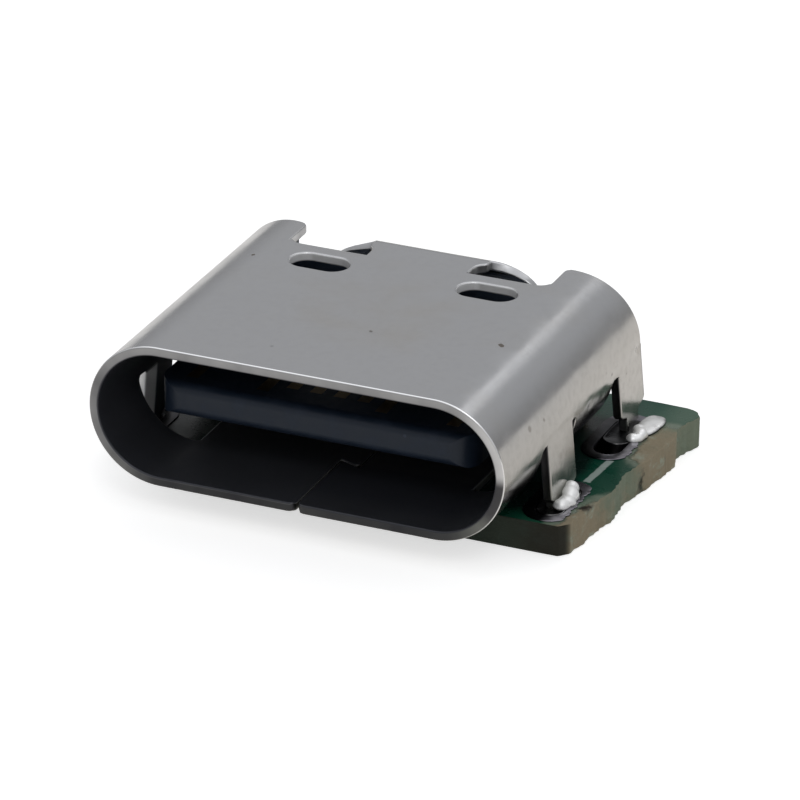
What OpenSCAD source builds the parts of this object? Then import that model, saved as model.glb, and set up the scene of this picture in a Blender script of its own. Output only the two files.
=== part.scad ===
// USB-C socket with its scrap of circuit board.
// Origin: centre of the plug mouth, in the plane of the shell's front lip.
// +X right, +Y into the socket, +Z up. Millimetres.

/* [Shell] */
// Width of the mouth inside the shell
mouth_w = 8.34; // [8.2:0.01:10.1]
// Height of the mouth inside the shell
mouth_h = 2.56; // [2.4:0.01:3.1]
// Thickness of the folded sheet
sheet_t = 0.2; // [0.15:0.01:0.3]
// Depth of the shell from its front lip to its rear edge
shell_l = 7; // [6.4:0.05:8.5]
// Gap left in the folded seam
seam_gap = 0.03; // [0.01:0.01:0.06]
// Depth of the dovetail that locks the seam
dovetail_d = 0.55; // [0.3:0.05:0.9]

/* [Roof] */
// Sideways offset of the roof's cut-outs and flap, left by the folding
roof_shift = 0.08; // [-0.1:0.01:0.1]
// Length of each oblong roof window, across the shell
window_l = 1.25; // [0.8:0.05:1.6]
// Width of each oblong roof window
window_w = 0.7; // [0.4:0.05:0.9]
// Distance from the roof pattern's middle to a window's centre
window_x = 1.8; // [1.5:0.02:2.2]
// Distance from the rear edge to the windows' centres
window_back = 2; // [1.8:0.05:2.4]
// Depth of the rear notches, from the rear edge
notch_d = 1.3; // [1:0.05:1.5]
// Half the distance between the two rear ears
ear_x = 2.8; // [2.7:0.05:3]
// Corner radius at the bottoms of the notches
notch_r = 0.28; // [0.1:0.02:0.4]
// Corner radius of the ears
ear_r = 0.14; // [0.06:0.02:0.3]
// How far an ear's inner corner stands in front of the rear edge
ear_slant = 0.34; // [0.1:0.02:0.5]

/* [Rear flap] */
// Width of the neck that joins the flap to the roof
neck_w = 2.2; // [1.8:0.05:2.6]
// Outer radius of the flap's bend
bend_r = 0.36; // [0.3:0.02:0.5]
// Distance from the rear edge to the flap's outer face
flap_back = 0.3; // [0.2:0.02:0.4]
// Full width of the flap below its shoulders
flap_w = 4.8; // [4:0.1:5]
// Height of the flap, down from the roof
flap_h = 2; // [1.4:0.05:2.2]
// Fall of the flap's shoulders for each millimetre outwards
shoulder_slope = 0.5; // [0.3:0.05:0.7]

/* [Legs] */
// Distance from the front lip to the front legs
front_leg_y = 2.15; // [2:0.05:2.6]
// Width of a front leg
front_leg_w = 1.25; // [1:0.05:1.5]
// Width of a rear leg
rear_leg_w = 1.22; // [0.9:0.02:1.3]
// Outward lean of the legs, in degrees
leg_lean = 5; // [0:0.5:6]
// Width of the slits beside the legs
slit_w = 0.2; // [0.12:0.02:0.3]
// Height of the front legs' slit tops below the middle of the mouth
front_slit_z = 0.17; // [0.1:0.01:0.4]
// Height of the rear legs' slit tops below the middle of the mouth
rear_slit_z = 0.26; // [0.1:0.01:0.4]
// Height of the front legs' shoulders above the board's pads
front_foot_h = 0.1; // [0:0.05:0.3]
// Height of the rear legs' shoulders above the board's pads
rear_foot_h = 0.28; // [0:0.02:0.4]
// Width of a front leg's tip, inside its board slot
front_tip_w = 0.8; // [0.6:0.05:0.9]
// Width of a rear leg's tip, inside its board slot
rear_tip_w = 0.6; // [0.5:0.05:0.7]
// Distance from a front leg's front edge to its tip
front_tip_in = 0.1; // [0.05:0.05:0.2]
// Distance from a rear leg's front edge to its tip
rear_tip_in = 0.26; // [0.2:0.02:0.4]

/* [Tongue] */
// Width of the tongue
tongue_w = 6.69; // [6:0.01:6.8]
// Thickness of the tongue
tongue_t = 0.7; // [0.66:0.01:0.9]
// Distance from the front lip to the tongue's tip
tongue_y = 0.87; // [0.6:0.01:1.1]
// Thickness of the tongue's root, under the ground plates
root_t = 0.9; // [0.86:0.02:1.1]
// Length of the tongue's root
root_l = 1.2; // [1.1:0.05:1.4]
// Depth of the latch notches in the tongue's sides
latch_d = 0.35; // [0.2:0.01:0.45]
// Length of the latch notches
latch_l = 1.3; // [1:0.05:1.6]

/* [Housing] */
// Thickness of the housing's block behind the tongue
block_l = 0.3; // [0.28:0.02:0.4]
// Distance from the rear edge to the back of the block
block_back = 0.55; // [0.52:0.01:0.6]
// Gap round the housing inside the shell
housing_gap = 0.02; // [0.01:0.01:0.05]
// Diameter of a locating peg
peg_d = 0.5; // [0.4:0.02:0.6]
// Distance from the middle line to a locating peg
peg_x = 2.89; // [2.8:0.01:2.95]
// Length of a locating peg below the board's top
peg_l = 0.55; // [0.4:0.05:0.6]

/* [Contacts and plates] */
// Pitch of the contacts on the tongue
pitch = 0.5; // [0.48:0.01:0.51]
// Width of a contact on the tongue
contact_w = 0.25; // [0.2:0.01:0.3]
// Thickness of a contact's strip
contact_t = 0.15; // [0.1:0.01:0.18]
// Width of a contact's tail
tail_w = 0.2; // [0.15:0.01:0.24]
// Length of a tail's foot, behind the block
foot_l = 0.8; // [0.5:0.05:0.9]
// Thickness of the steel plate inside the tongue
mid_plate_t = 0.15; // [0.1:0.01:0.18]
// Thickness of the ground plates on the tongue's root
ground_plate_t = 0.15; // [0.1:0.01:0.2]

/* [Circuit board] */
// Thickness of the board
board_t = 0.65; // [0.6:0.05:1.2]
// Distance from the front lip to the board's front edge
board_y = 1.5; // [1.3:0.05:1.8]
// How far the board runs on behind the shell
board_back = 0.5; // [0.35:0.05:1.5]
// Thickness of the copper on the board
copper_t = 0.03; // [0.02:0.005:0.05]
// Width of a plated leg slot
slot_w = 0.6; // [0.5:0.02:0.7]
// Width of the copper rim round a leg slot
rim_w = 0.24; // [0.2:0.02:0.35]
// Length of a front leg's slot
front_slot_len = 1.4; // [1.3:0.05:1.6]
// Length of a rear leg's slot
rear_slot_len = 1.7; // [1.3:0.05:1.8]
// Room between a leg's tip and the rear end of its slot
tip_room = 0.17; // [0.14:0.01:0.25]
// Distance from the legs' plane outwards to the middle of the slots
slot_out = 0.18; // [0.15:0.01:0.22]
// Thickness of the plating in a leg slot
plating_t = 0.05; // [0.03:0.01:0.08]
// Gap round a peg in its board hole
peg_gap = 0.07; // [0.04:0.01:0.1]

/* [Solder] */
// Radius of the solder loaf on a leg's outer side
loaf_r = 0.45; // [0.35:0.01:0.48]
// Length of the solder loaf between its round ends
loaf_l = 0.4; // [0.2:0.05:0.6]
// Radius of the opening left at the front end of a rear slot
open_r = 0.5; // [0.4:0.02:0.6]
// Thickness of the solder round a tail's foot
tail_solder_t = 0.08; // [0.05:0.01:0.12]

/* [Hidden] */
$fn = 96;

// Overlap that joins touching shapes of one piece, and overshoot of cuts
eps = 0.01;
over = 1;

// Shell: half sizes of the outer stadium, and the centres of its round ends
outer_x = mouth_w / 2 + sheet_t;
outer_z = mouth_h / 2 + sheet_t;
end_x = (mouth_w - mouth_h) / 2;
floor_end_y = shell_l - 1.65;
floor_open_x = end_x + 0.35;
notch_y = shell_l - notch_d;
flap_y = shell_l - flap_back;
bend_y = flap_y - bend_r;
dovetail_y = 2.2;
dovetail_w = 1.1;
dovetail_flare = 0.18;

// Board: top and bottom faces
board_top = -outer_z;
board_bottom = board_top - board_t;
pad_top = board_top + copper_t;
board_rear_y = shell_l + board_back;

// Legs: straight strips in line with the shell's side walls
leg_x = outer_x - sheet_t / 2;
rear_leg_y = shell_l - rear_leg_w;
tip_z = board_bottom + 0.06;
front_tip_y = front_leg_y + front_tip_in + front_tip_w / 2;
rear_tip_y = rear_leg_y + rear_tip_in + rear_tip_w / 2;
slot_x = leg_x + slot_out;
front_slot_y = front_tip_y + (front_tip_w - front_slot_len) / 2 + tip_room;
rear_slot_y = rear_tip_y + (rear_tip_w - rear_slot_len) / 2 + tip_room;

// Tongue and housing
root_y = shell_l - block_back - block_l - root_l;
block_y = shell_l - block_back - block_l;
block_rear_y = shell_l - block_back;
root_hw = tongue_w / 2 + 0.26;
block_top = outer_z - sheet_t - 0.3;
tower_rear_y = shell_l - ear_slant - 0.11;
housing_under = -outer_z + 0.24;
peg_y = block_y - 0.4;
latch_y = tongue_y + 1.35;
lead_in = 0.2;

// Contacts: exposed faces lie flush with the tongue
bend_inner = 0.08;
jog_front = root_y + 0.15;
jog_rear = block_y - 0.15;
tail_rear_y = block_rear_y + foot_l;
power_tail_x = 2.45;
ground_tail_x = 3.2;
twin_gap = 0.15;
pad_len = foot_l + 0.15;

// ---------- shared shapes ----------

// Stadium of a width and a height, in the XY plane
module stadium(w, h) {
  square([w - h, h], center = true);
  for (s = [-1, 1])
    translate([s * (w - h) / 2, 0])
      circle(d = h);
}

// Turns a flat shape to face along Y and makes it solid from y0 to y1
module along_y(y0, y1) {
  translate([0, y1, 0])
    rotate([90, 0, 0])
      linear_extrude(height = y1 - y0)
        children();
}

// Turns a flat shape in (y, z) to face along X and makes it solid, w wide at x
module along_x(x, w) {
  translate([x - w / 2, 0, 0])
    rotate([90, 0, 90])
      linear_extrude(height = w)
        children();
}

// Box from a low corner to a high corner
module span(low, high) {
  translate(low)
    cube(high - low);
}

// Oblong with round ends, its long side along Y, in the XY plane
module oblong_y(w, l) {
  square([w, l - w], center = true);
  for (s = [-1, 1])
    translate([0, s * (l - w) / 2])
      circle(d = w);
}

// ---------- shell ----------

// Folded tube before its cut-outs
module shell_tube() {
  along_y(0, shell_l)
    difference() {
      stadium(2 * outer_x, 2 * outer_z);
      stadium(mouth_w, mouth_h);
    }
}

// Dovetail outline, grown by g on every side
module dovetail(g) {
  polygon([
    [-g, dovetail_y - g],
    [dovetail_d + g, dovetail_y - dovetail_flare - 1.4 * g],
    [dovetail_d + g, dovetail_y + dovetail_w + dovetail_flare + 1.4 * g],
    [-g, dovetail_y + dovetail_w + g]
  ]);
}

// The seam's line in plan: two straight runs and the dovetail between them
module seam_line() {
  translate([0, -over])
    square([seam_gap, dovetail_y + over]);
  translate([0, dovetail_y + dovetail_w])
    square([seam_gap, shell_l]);
  difference() {
    dovetail(seam_gap);
    dovetail(0);
    translate([-over, 0])
      square([over, shell_l]);
  }
}

module seam_cut() {
  translate([0, 0, -outer_z - over])
    linear_extrude(height = outer_z + over)
      seam_line();
}

// Two oblong windows through the roof
module roof_windows() {
  for (s = [-1, 1])
    translate([roof_shift + s * window_x, shell_l - window_back, 0])
      linear_extrude(height = outer_z + over)
        stadium(window_l, window_w);
}

// Opening in the roof's rear edge, between the ears, with their slanted ends
module rear_notch() {
  linear_extrude(height = outer_z + over)
    translate([roof_shift, 0]) {
      translate([-ear_x, notch_y + notch_r])
        square([2 * ear_x, notch_d + over]);
      translate([-ear_x + notch_r, notch_y])
        square([2 * (ear_x - notch_r), notch_d + over]);
      for (s = [0, 1])
        mirror([s, 0]) {
          translate([ear_x - notch_r, notch_y + notch_r])
            circle(r = notch_r);
          ear_end();
        }
    }
}

// What is cut off an ear's end: a slanted slice and its round corner
module ear_end() {
  reach = outer_x + roof_shift - ear_x;
  slope = ear_slant / reach;
  stretch = sqrt(1 + slope * slope);
  centre = [ear_x + ear_r, shell_l - ear_slant + slope * ear_r - ear_r * stretch];
  touch = centre + ear_r / stretch * [-slope, 1];
  corner = [ear_x, shell_l - ear_slant];
  polygon([
    corner - [eps, 0], [ear_x + reach, shell_l], [ear_x + reach, shell_l + over],
    [ear_x - eps, shell_l + over]
  ]);
  difference() {
    polygon([[ear_x - eps, centre[1]], centre, touch, corner + [0, eps], corner - [eps, 0]]);
    translate(centre)
      circle(r = ear_r);
  }
}

// Opening in the floor's rear, for the housing's foot and the tails
module floor_opening() {
  span([-floor_open_x, floor_end_y, -outer_z - over], [floor_open_x, shell_l + over, 0]);
}

// Clears the round wall where a leg of width w starts at y0, with its slits
module leg_window(y0, w, slit_z) {
  span([end_x, y0, -outer_z - over], [outer_x + over, y0 + w, 0]);
  translate([0, y0, 0])
    leg_slit(slit_z);
  translate([0, y0 + w, 0])
    mirror([0, 1, 0])
      leg_slit(slit_z);
}

// Slit in front of a leg: its top is round on the side away from the leg
module leg_slit(slit_z) {
  round_z = -slit_z - slit_w / 2;
  span([end_x, -slit_w, -outer_z - over], [outer_x + over, eps, round_z]);
  span([end_x, -slit_w / 2, round_z - eps], [outer_x + over, eps, -slit_z]);
  translate([end_x, -slit_w / 2, round_z])
    rotate([0, 90, 0])
      cylinder(d = slit_w, h = outer_x - end_x + over);
}

// Outline of a leg in (y, z): a wide strip, its shoulders, and a tapered tip
// that starts tip_in behind the front edge
module leg_outline(w, foot_h, tip_in, tip_w) {
  foot_z = pad_top + foot_h;
  taper = 0.12;
  polygon([
    [0, 0], [0, foot_z], [tip_in, foot_z - tip_in / 3], [tip_in, tip_z + 0.22],
    [tip_in + taper, tip_z], [tip_in + tip_w - taper, tip_z],
    [tip_in + tip_w, tip_z + 0.22], [tip_in + tip_w, foot_z - (w - tip_in - tip_w) / 3],
    [w, foot_z], [w, 0]
  ]);
}

// Section of the legs in (x, z), leaning outwards from the wall
module leg_section() {
  run = outer_z + 1;
  drift = run * tan(leg_lean);
  polygon([
    [outer_x - sheet_t, 0], [outer_x, 0], [outer_x + drift, -run],
    [outer_x - sheet_t + drift, -run]
  ]);
}

module front_leg() {
  intersection() {
    along_y(front_leg_y, front_leg_y + front_leg_w)
      leg_section();
    translate([0, front_leg_y, 0])
      along_x(leg_x, 1)
        leg_outline(front_leg_w, front_foot_h, front_tip_in, front_tip_w);
  }
}

module rear_leg() {
  intersection() {
    along_y(rear_leg_y, rear_leg_y + rear_leg_w)
      leg_section();
    translate([0, rear_leg_y, 0])
      along_x(leg_x, 1)
        leg_outline(rear_leg_w, rear_foot_h, rear_tip_in, rear_tip_w);
  }
}

// Outline of the flap in (x, z): shoulders that slope from a round top
module flap_outline() {
  top_r = 0.7;
  top_x = neck_w / 2 - 0.15;
  low_r = 0.45;
  low_x = flap_w / 2 - low_r;
  run = atan(shoulder_slope);
  bottom = outer_z - flap_h;
  start = [top_x + top_r * sin(run), outer_z - top_r * (1 - cos(run))];
  low_z = start[1] - shoulder_slope * (low_x + low_r * sin(run) - start[0]) - low_r * cos(run);
  for (s = [0, 1])
    mirror([s, 0]) {
      polygon([
        [0, bottom], [0, outer_z], [top_x, outer_z], start,
        [low_x + low_r * sin(run), low_z + low_r * cos(run)],
        [low_x + low_r, low_z], [low_x + low_r, bottom + low_r], [low_x, bottom]
      ]);
      translate([top_x, outer_z - top_r])
        circle(r = top_r);
      translate([low_x, low_z])
        circle(r = low_r);
      translate([low_x, bottom + low_r])
        circle(r = low_r);
    }
}

// Section of the flap in (y, z): its bend and its upright sheet
module flap_section() {
  translate([bend_y, outer_z - bend_r])
    intersection() {
      difference() {
        circle(r = bend_r);
        circle(r = bend_r - sheet_t);
      }
      square([bend_r + over, bend_r + over]);
    }
  translate([flap_y - sheet_t, outer_z - flap_h - over])
    square([sheet_t, flap_h + over - bend_r + eps]);
  translate([bend_y - 0.12, outer_z - sheet_t])
    square([0.12 + eps, sheet_t]);
}

// Rear flap, bent down from the roof by its neck
module rear_flap() {
  translate([roof_shift, 0, 0]) {
    span([-neck_w / 2, notch_y - eps, outer_z - sheet_t], [neck_w / 2, bend_y, outer_z]);
    intersection() {
      along_x(0, flap_w + 1)
        flap_section();
      along_y(notch_y, shell_l)
        flap_outline();
    }
  }
}

module shell() {
  color([0.74, 0.75, 0.77]) {
    difference() {
      shell_tube();
      seam_cut();
      roof_windows();
      rear_notch();
      floor_opening();
      for (s = [0, 1])
        mirror([s, 0, 0]) {
          leg_window(front_leg_y, front_leg_w, front_slit_z);
          leg_window(rear_leg_y, rear_leg_w, rear_slit_z);
        }
    }
    for (s = [0, 1])
      mirror([s, 0, 0]) {
        front_leg();
        rear_leg();
      }
    rear_flap();
  }
}

// ---------- contacts ----------

// A contact: its place on the tongue, its tail's place, and which face it is on
function upper_contacts() = [
  ["a1", -5.5, -ground_tail_x - twin_gap], ["a4", -2.5, -power_tail_x + twin_gap],
  ["a5", -1.5, -1.25], ["a6", -0.5, -0.25], ["a7", 0.5, 0.25], ["a8", 1.5, 1.25],
  ["a9", 2.5, power_tail_x - twin_gap], ["a12", 5.5, ground_tail_x + twin_gap]
];
function lower_contacts() = [
  ["b12", -5.5, -ground_tail_x + twin_gap], ["b9", -2.5, -power_tail_x - twin_gap],
  ["b8", -1.5, -1.75], ["b7", -0.5, -0.75], ["b6", 0.5, 0.75], ["b5", 1.5, 1.75],
  ["b4", 2.5, power_tail_x + twin_gap], ["b1", 5.5, ground_tail_x - twin_gap]
];

// Power and ground contacts reach further forward and mate first
function contact_front(p) = tongue_y + (abs(p) == 1.5 || abs(p) == 0.5 ? 0.7 : 0.4);

// Section in (y, z) of the run through the block, the drop and the foot
module tail_section(low) {
  high = low + contact_t;
  outer = bend_inner + contact_t;
  drop_y = block_rear_y - contact_t;
  foot_top = pad_top + contact_t;
  translate([jog_rear - eps, low])
    square([drop_y - bend_inner - jog_rear + 2 * eps, contact_t]);
  translate([drop_y - bend_inner, high - outer])
    quarter_bend(outer);
  translate([drop_y, foot_top + bend_inner - eps])
    square([contact_t, high - outer - foot_top - bend_inner + 2 * eps]);
  translate([drop_y + outer, pad_top + outer])
    rotate(180)
      quarter_bend(outer);
  translate([drop_y + outer - eps, pad_top])
    square([tail_rear_y - drop_y - outer + eps, contact_t]);
}

// Quarter ring of a strip bent to an outer radius
module quarter_bend(outer) {
  intersection() {
    difference() {
      circle(r = outer);
      circle(r = outer - contact_t);
    }
    square([outer, outer]);
  }
}

// One stamped contact: bare strip, sideways jog, and tail
module contact(p, tail_x, low) {
  x = p * pitch;
  y0 = contact_front(p);
  span([x - contact_w / 2, y0, low], [x + contact_w / 2, jog_front + eps, low + contact_t]);
  translate([0, 0, low])
    linear_extrude(height = contact_t)
      polygon([
        [x - contact_w / 2, jog_front], [x + contact_w / 2, jog_front],
        [tail_x + tail_w / 2, jog_rear], [tail_x - tail_w / 2, jog_rear]
      ]);
  along_x(tail_x, tail_w)
    tail_section(low);
}

upper_low = tongue_t / 2 - contact_t;
lower_low = -tongue_t / 2;

module upper_contact(i) {
  c = upper_contacts()[i];
  contact(c[1], c[2], upper_low);
}

module lower_contact(i) {
  c = lower_contacts()[i];
  contact(c[1], c[2], lower_low);
}

// Contact of a name, gilded
module named_contact(name) {
  color([0.93, 0.76, 0.38]) {
    for (i = [0 : 7]) {
      if (upper_contacts()[i][0] == name)
        upper_contact(i);
      if (lower_contacts()[i][0] == name)
        lower_contact(i);
    }
  }
}

// ---------- plates ----------

// Plan of the tongue, with round front corners and the latch notches
module tongue_plan(front, rear) {
  corner = 0.5;
  difference() {
    union() {
      translate([-tongue_w / 2, front + corner])
        square([tongue_w, rear - front - corner]);
      translate([-tongue_w / 2 + corner, front])
        square([tongue_w - 2 * corner, corner + eps]);
      for (s = [-1, 1])
        translate([s * (tongue_w / 2 - corner), front + corner])
          circle(r = corner);
    }
    for (s = [-1, 1])
      translate([s * tongue_w / 2, latch_y + latch_l / 2])
        oblong_y(2 * latch_d, latch_l);
  }
}

// Steel plate between the two rows, with holes that the moulding fills
module mid_plate() {
  color([0.62, 0.63, 0.65])
    translate([0, 0, -mid_plate_t / 2])
      linear_extrude(height = mid_plate_t)
        difference() {
          tongue_plan(tongue_y + 0.12, block_y + 0.06);
          for (x = [-1.9, 0, 1.9])
            translate([x, latch_y + latch_l + 0.45])
              circle(r = 0.3);
        }
}

// Ground plate on the tongue's root: a flat pad with two short side wings
module ground_plate() {
  top = root_t / 2 + ground_plate_t;
  wing_z = root_t / 2 - 0.3;
  color([0.7, 0.71, 0.73])
    along_y(root_y, block_y)
      difference() {
        translate([-root_hw - ground_plate_t, wing_z])
          square([2 * (root_hw + ground_plate_t), top - wing_z]);
        translate([-root_hw, wing_z - over])
          square([2 * root_hw, root_t / 2 - wing_z + over]);
      }
}

module upper_ground_plate() {
  ground_plate();
}

module lower_ground_plate() {
  mirror([0, 0, 1])
    ground_plate();
}

// ---------- housing ----------

// Tongue with a rounded nose and its thicker root
module tongue() {
  intersection() {
    translate([0, 0, -tongue_t])
      linear_extrude(height = 2 * tongue_t)
        tongue_plan(tongue_y, root_y + lead_in);
    along_x(0, tongue_w + 1) {
      translate([tongue_y + lead_in, -tongue_t / 2])
        square([root_y - tongue_y, tongue_t]);
      translate([tongue_y, -tongue_t / 2 + lead_in])
        square([lead_in + eps, tongue_t - 2 * lead_in]);
      for (s = [-1, 1])
        translate([tongue_y + lead_in, s * (tongue_t / 2 - lead_in)])
          circle(r = lead_in);
    }
  }
  span([-root_hw, root_y, -root_t / 2], [root_hw, block_y + eps, root_t / 2]);
}

// Block that plugs the shell, lower behind the roof's notch, with two towers
module block() {
  intersection() {
    along_y(block_y, tower_rear_y)
      stadium(mouth_w - 2 * housing_gap, mouth_h - 2 * housing_gap);
    union() {
      span([-outer_x, block_y, -outer_z], [outer_x, block_rear_y, block_top]);
      for (s = [-1, 1])
        translate([s * (outer_x + ear_x + 0.08) / 2, (block_y + tower_rear_y) / 2, housing_under / 2 + outer_z / 2])
          cube([outer_x - ear_x - 0.08, tower_rear_y - block_y, outer_z - housing_under], center = true);
    }
  }
}

// Foot that stands on the board in the floor's opening, with its two pegs
module housing_foot() {
  span(
    [-floor_open_x + housing_gap, floor_end_y + housing_gap, board_top],
    [floor_open_x - housing_gap, block_y + eps, -root_t / 2 - ground_plate_t - 0.4]
  );
  for (s = [-1, 1])
    translate([s * peg_x, peg_y, board_top - peg_l]) {
      cylinder(d1 = peg_d - 0.16, d2 = peg_d, h = 0.12);
      translate([0, 0, 0.12 - eps])
        cylinder(d = peg_d, h = peg_l - 0.12 + 2 * eps);
    }
}

module housing() {
  color([0.08, 0.08, 0.09])
    difference() {
      union() {
        tongue();
        block();
        housing_foot();
      }
      for (i = [0 : 7]) {
        upper_contact(i);
        lower_contact(i);
      }
      mid_plate();
    }
}

// ---------- circuit board ----------

// Snapped right edge: how far along the board, and how far past the shell
snapped_edge = [
  [0, 0.5], [0.04, 0.69], [0.11, 0.75], [0.25, 0.86], [0.33, 0.9], [0.41, 0.87], [0.5, 0.9],
  [0.62, 1.07], [0.75, 1.12], [0.86, 1.05], [0.9, 1.06], [0.94, 1.22], [0.98, 1.1], [1, 0.93]
];

module board_plan() {
  polygon(concat(
    [for (p = snapped_edge) [outer_x + p[1], board_y + p[0] * (board_rear_y - board_y)]],
    [[-outer_x - 0.5, board_rear_y], [-outer_x - 0.64, board_rear_y - 0.2],
      [-outer_x - 0.64, board_y + 0.95], [-outer_x + 0.5, board_y]]
  ));
}

// Runs its children at a slot on a side of the board
module at_slot(side, y) {
  translate([side * slot_x, y, 0])
    children();
}

module circuit_board() {
  color([0.05, 0.36, 0.22])
    difference() {
      translate([0, 0, board_bottom])
        linear_extrude(height = board_t)
          board_plan();
      for (s = [-1, 1]) {
        at_slot(s, front_slot_y)
          slot_room(front_slot_len);
        at_slot(s, rear_slot_y)
          slot_room(rear_slot_len);
        translate([s * peg_x, peg_y, board_bottom - over])
          cylinder(d = peg_d + 2 * peg_gap, h = board_t + 2 * over);
      }
    }
}

// Room in the board for a slot's plating and its lower rim
module slot_room(len) {
  translate([0, 0, board_bottom - over])
    linear_extrude(height = board_t + 2 * over)
      oblong_y(slot_w + 2 * plating_t, len + 2 * plating_t);
  translate([0, 0, board_bottom - over])
    linear_extrude(height = copper_t + over)
      oblong_y(slot_w + 2 * rim_w, len + 2 * rim_w);
}

// Copper lining of a slot with a rim on each face of the board
module slot_plating(side, y, len) {
  color([0.72, 0.73, 0.74])
    at_slot(side, y)
      difference() {
        union() {
          translate([0, 0, board_bottom])
            linear_extrude(height = board_t + copper_t)
              oblong_y(slot_w + 2 * plating_t, len + 2 * plating_t);
          for (z = [board_bottom, board_top])
            translate([0, 0, z])
              linear_extrude(height = copper_t)
                oblong_y(slot_w + 2 * rim_w, len + 2 * rim_w);
        }
        translate([0, 0, board_bottom - over])
          linear_extrude(height = board_t + 2 * over)
            oblong_y(slot_w, len);
      }
}

// Pads under the tails: twelve, the power and ground ones twice as wide
function pads() = concat(
  [for (k = [-3.5 : 3.5]) [k * 0.5, 0.3]],
  [for (s = [-1, 1]) each [[s * power_tail_x, 0.56], [s * ground_tail_x, 0.56]]]
);

module contact_pads() {
  color([0.78, 0.7, 0.5])
    for (p = pads())
      span(
        [p[0] - p[1] / 2, tail_rear_y - pad_len + 0.05, board_top],
        [p[0] + p[1] / 2, tail_rear_y + 0.05, pad_top]
      );
}

// ---------- solder ----------

// Solder of a front leg: it fills the slot and climbs the leg's outer side
module front_solder(side) {
  color([0.86, 0.87, 0.88])
    mirror([side < 0 ? 1 : 0, 0, 0])
      difference() {
        union() {
          at_slot(1, front_slot_y)
            slot_fill(front_slot_len);
          loaf(front_tip_y);
        }
        front_leg();
      }
}

// Solder of a rear leg: the slot's front end is left open, with a hollow
// meniscus towards it
module rear_solder(side) {
  color([0.86, 0.87, 0.88])
    mirror([side < 0 ? 1 : 0, 0, 0])
      difference() {
        union() {
          at_slot(1, rear_slot_y)
            slot_fill(rear_slot_len);
          loaf(rear_tip_y);
        }
        rear_leg();
        translate([slot_x, rear_slot_y - rear_slot_len / 2, board_bottom - over])
          cylinder(r = open_r, h = board_t + copper_t + over);
      }
}

module slot_fill(len) {
  translate([0, 0, board_bottom])
    linear_extrude(height = board_t + copper_t + eps)
      oblong_y(slot_w, len);
}

// Rounded heap on a leg's outer side, above the pads
module loaf(y) {
  reach = outer_z + 1;
  intersection() {
    translate([slot_x, y, pad_top - 0.12])
      for (s = [-1, 1]) {
        translate([0, s * loaf_l / 2, 0])
          sphere(r = loaf_r);
        rotate([90, 0, 0])
          cylinder(r = loaf_r, h = loaf_l, center = true);
      }
    span([0, 0, pad_top], [outer_x + over, shell_l, 0]);
    along_y(0, shell_l)
      polygon([
        [outer_x, 0], [outer_x + 1, 0], [outer_x + 1, -reach],
        [outer_x + reach * tan(leg_lean), -reach]
      ]);
  }
}

// Solder round each tail's foot
module tail_solder() {
  color([0.84, 0.85, 0.86])
    difference() {
      for (p = pads())
        span(
          [p[0] - p[1] / 2 + 0.02, tail_rear_y - pad_len + 0.3, pad_top],
          [p[0] + p[1] / 2 - 0.02, tail_rear_y + 0.03, pad_top + tail_solder_t]
        );
      for (i = [0 : 7]) {
        upper_contact(i);
        lower_contact(i);
      }
    }
}

// ---------- output ----------

shell();
housing();
mid_plate();
upper_ground_plate();
lower_ground_plate();
named_contact("a1");  // contact_a1
named_contact("a4");  // contact_a4
named_contact("a5");  // contact_a5
named_contact("a6");  // contact_a6
named_contact("a7");  // contact_a7
named_contact("a8");  // contact_a8
named_contact("a9");  // contact_a9
named_contact("a12");  // contact_a12
named_contact("b1");  // contact_b1
named_contact("b4");  // contact_b4
named_contact("b5");  // contact_b5
named_contact("b6");  // contact_b6
named_contact("b7");  // contact_b7
named_contact("b8");  // contact_b8
named_contact("b9");  // contact_b9
named_contact("b12");  // contact_b12
circuit_board();
slot_plating(-1, front_slot_y, front_slot_len);  // front_left_slot_plating
slot_plating(1, front_slot_y, front_slot_len);  // front_right_slot_plating
slot_plating(-1, rear_slot_y, rear_slot_len);  // rear_left_slot_plating
slot_plating(1, rear_slot_y, rear_slot_len);  // rear_right_slot_plating
contact_pads();
front_solder(-1);  // front_left_solder
front_solder(1);  // front_right_solder
rear_solder(-1);  // rear_left_solder
rear_solder(1);  // rear_right_solder
tail_solder();
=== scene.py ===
import logging
import math
from dataclasses import dataclass, field
from enum import Enum
from typing import Callable, Optional, Sequence, Union

import bpy
import numpy as np
from mathutils import Matrix, Vector


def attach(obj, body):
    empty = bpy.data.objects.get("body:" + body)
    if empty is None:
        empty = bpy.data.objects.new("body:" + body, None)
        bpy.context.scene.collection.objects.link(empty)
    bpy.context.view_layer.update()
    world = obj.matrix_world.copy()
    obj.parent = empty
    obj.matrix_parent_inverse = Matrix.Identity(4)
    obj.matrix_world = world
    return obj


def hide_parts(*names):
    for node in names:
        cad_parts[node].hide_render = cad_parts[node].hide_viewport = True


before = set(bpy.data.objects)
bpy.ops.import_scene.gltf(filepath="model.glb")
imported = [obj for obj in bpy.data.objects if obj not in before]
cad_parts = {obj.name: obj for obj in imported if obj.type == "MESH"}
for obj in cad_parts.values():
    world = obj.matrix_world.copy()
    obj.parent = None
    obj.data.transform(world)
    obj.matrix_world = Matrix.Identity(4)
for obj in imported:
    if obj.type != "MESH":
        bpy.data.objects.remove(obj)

LOG = logging.getLogger("socket")
MM = 0.001
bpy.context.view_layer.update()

Array = np.ndarray
Colour = tuple[float, float, float]
Span = tuple[float, float]
Socket = bpy.types.NodeSocket
Value = Union[Socket, float, tuple]


# ---------- shading ----------


def metres(*sizes: float) -> tuple[float, ...]:
    """Returns millimetres as the metres that Object coordinates are in."""
    return tuple(size * MM for size in sizes)


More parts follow.
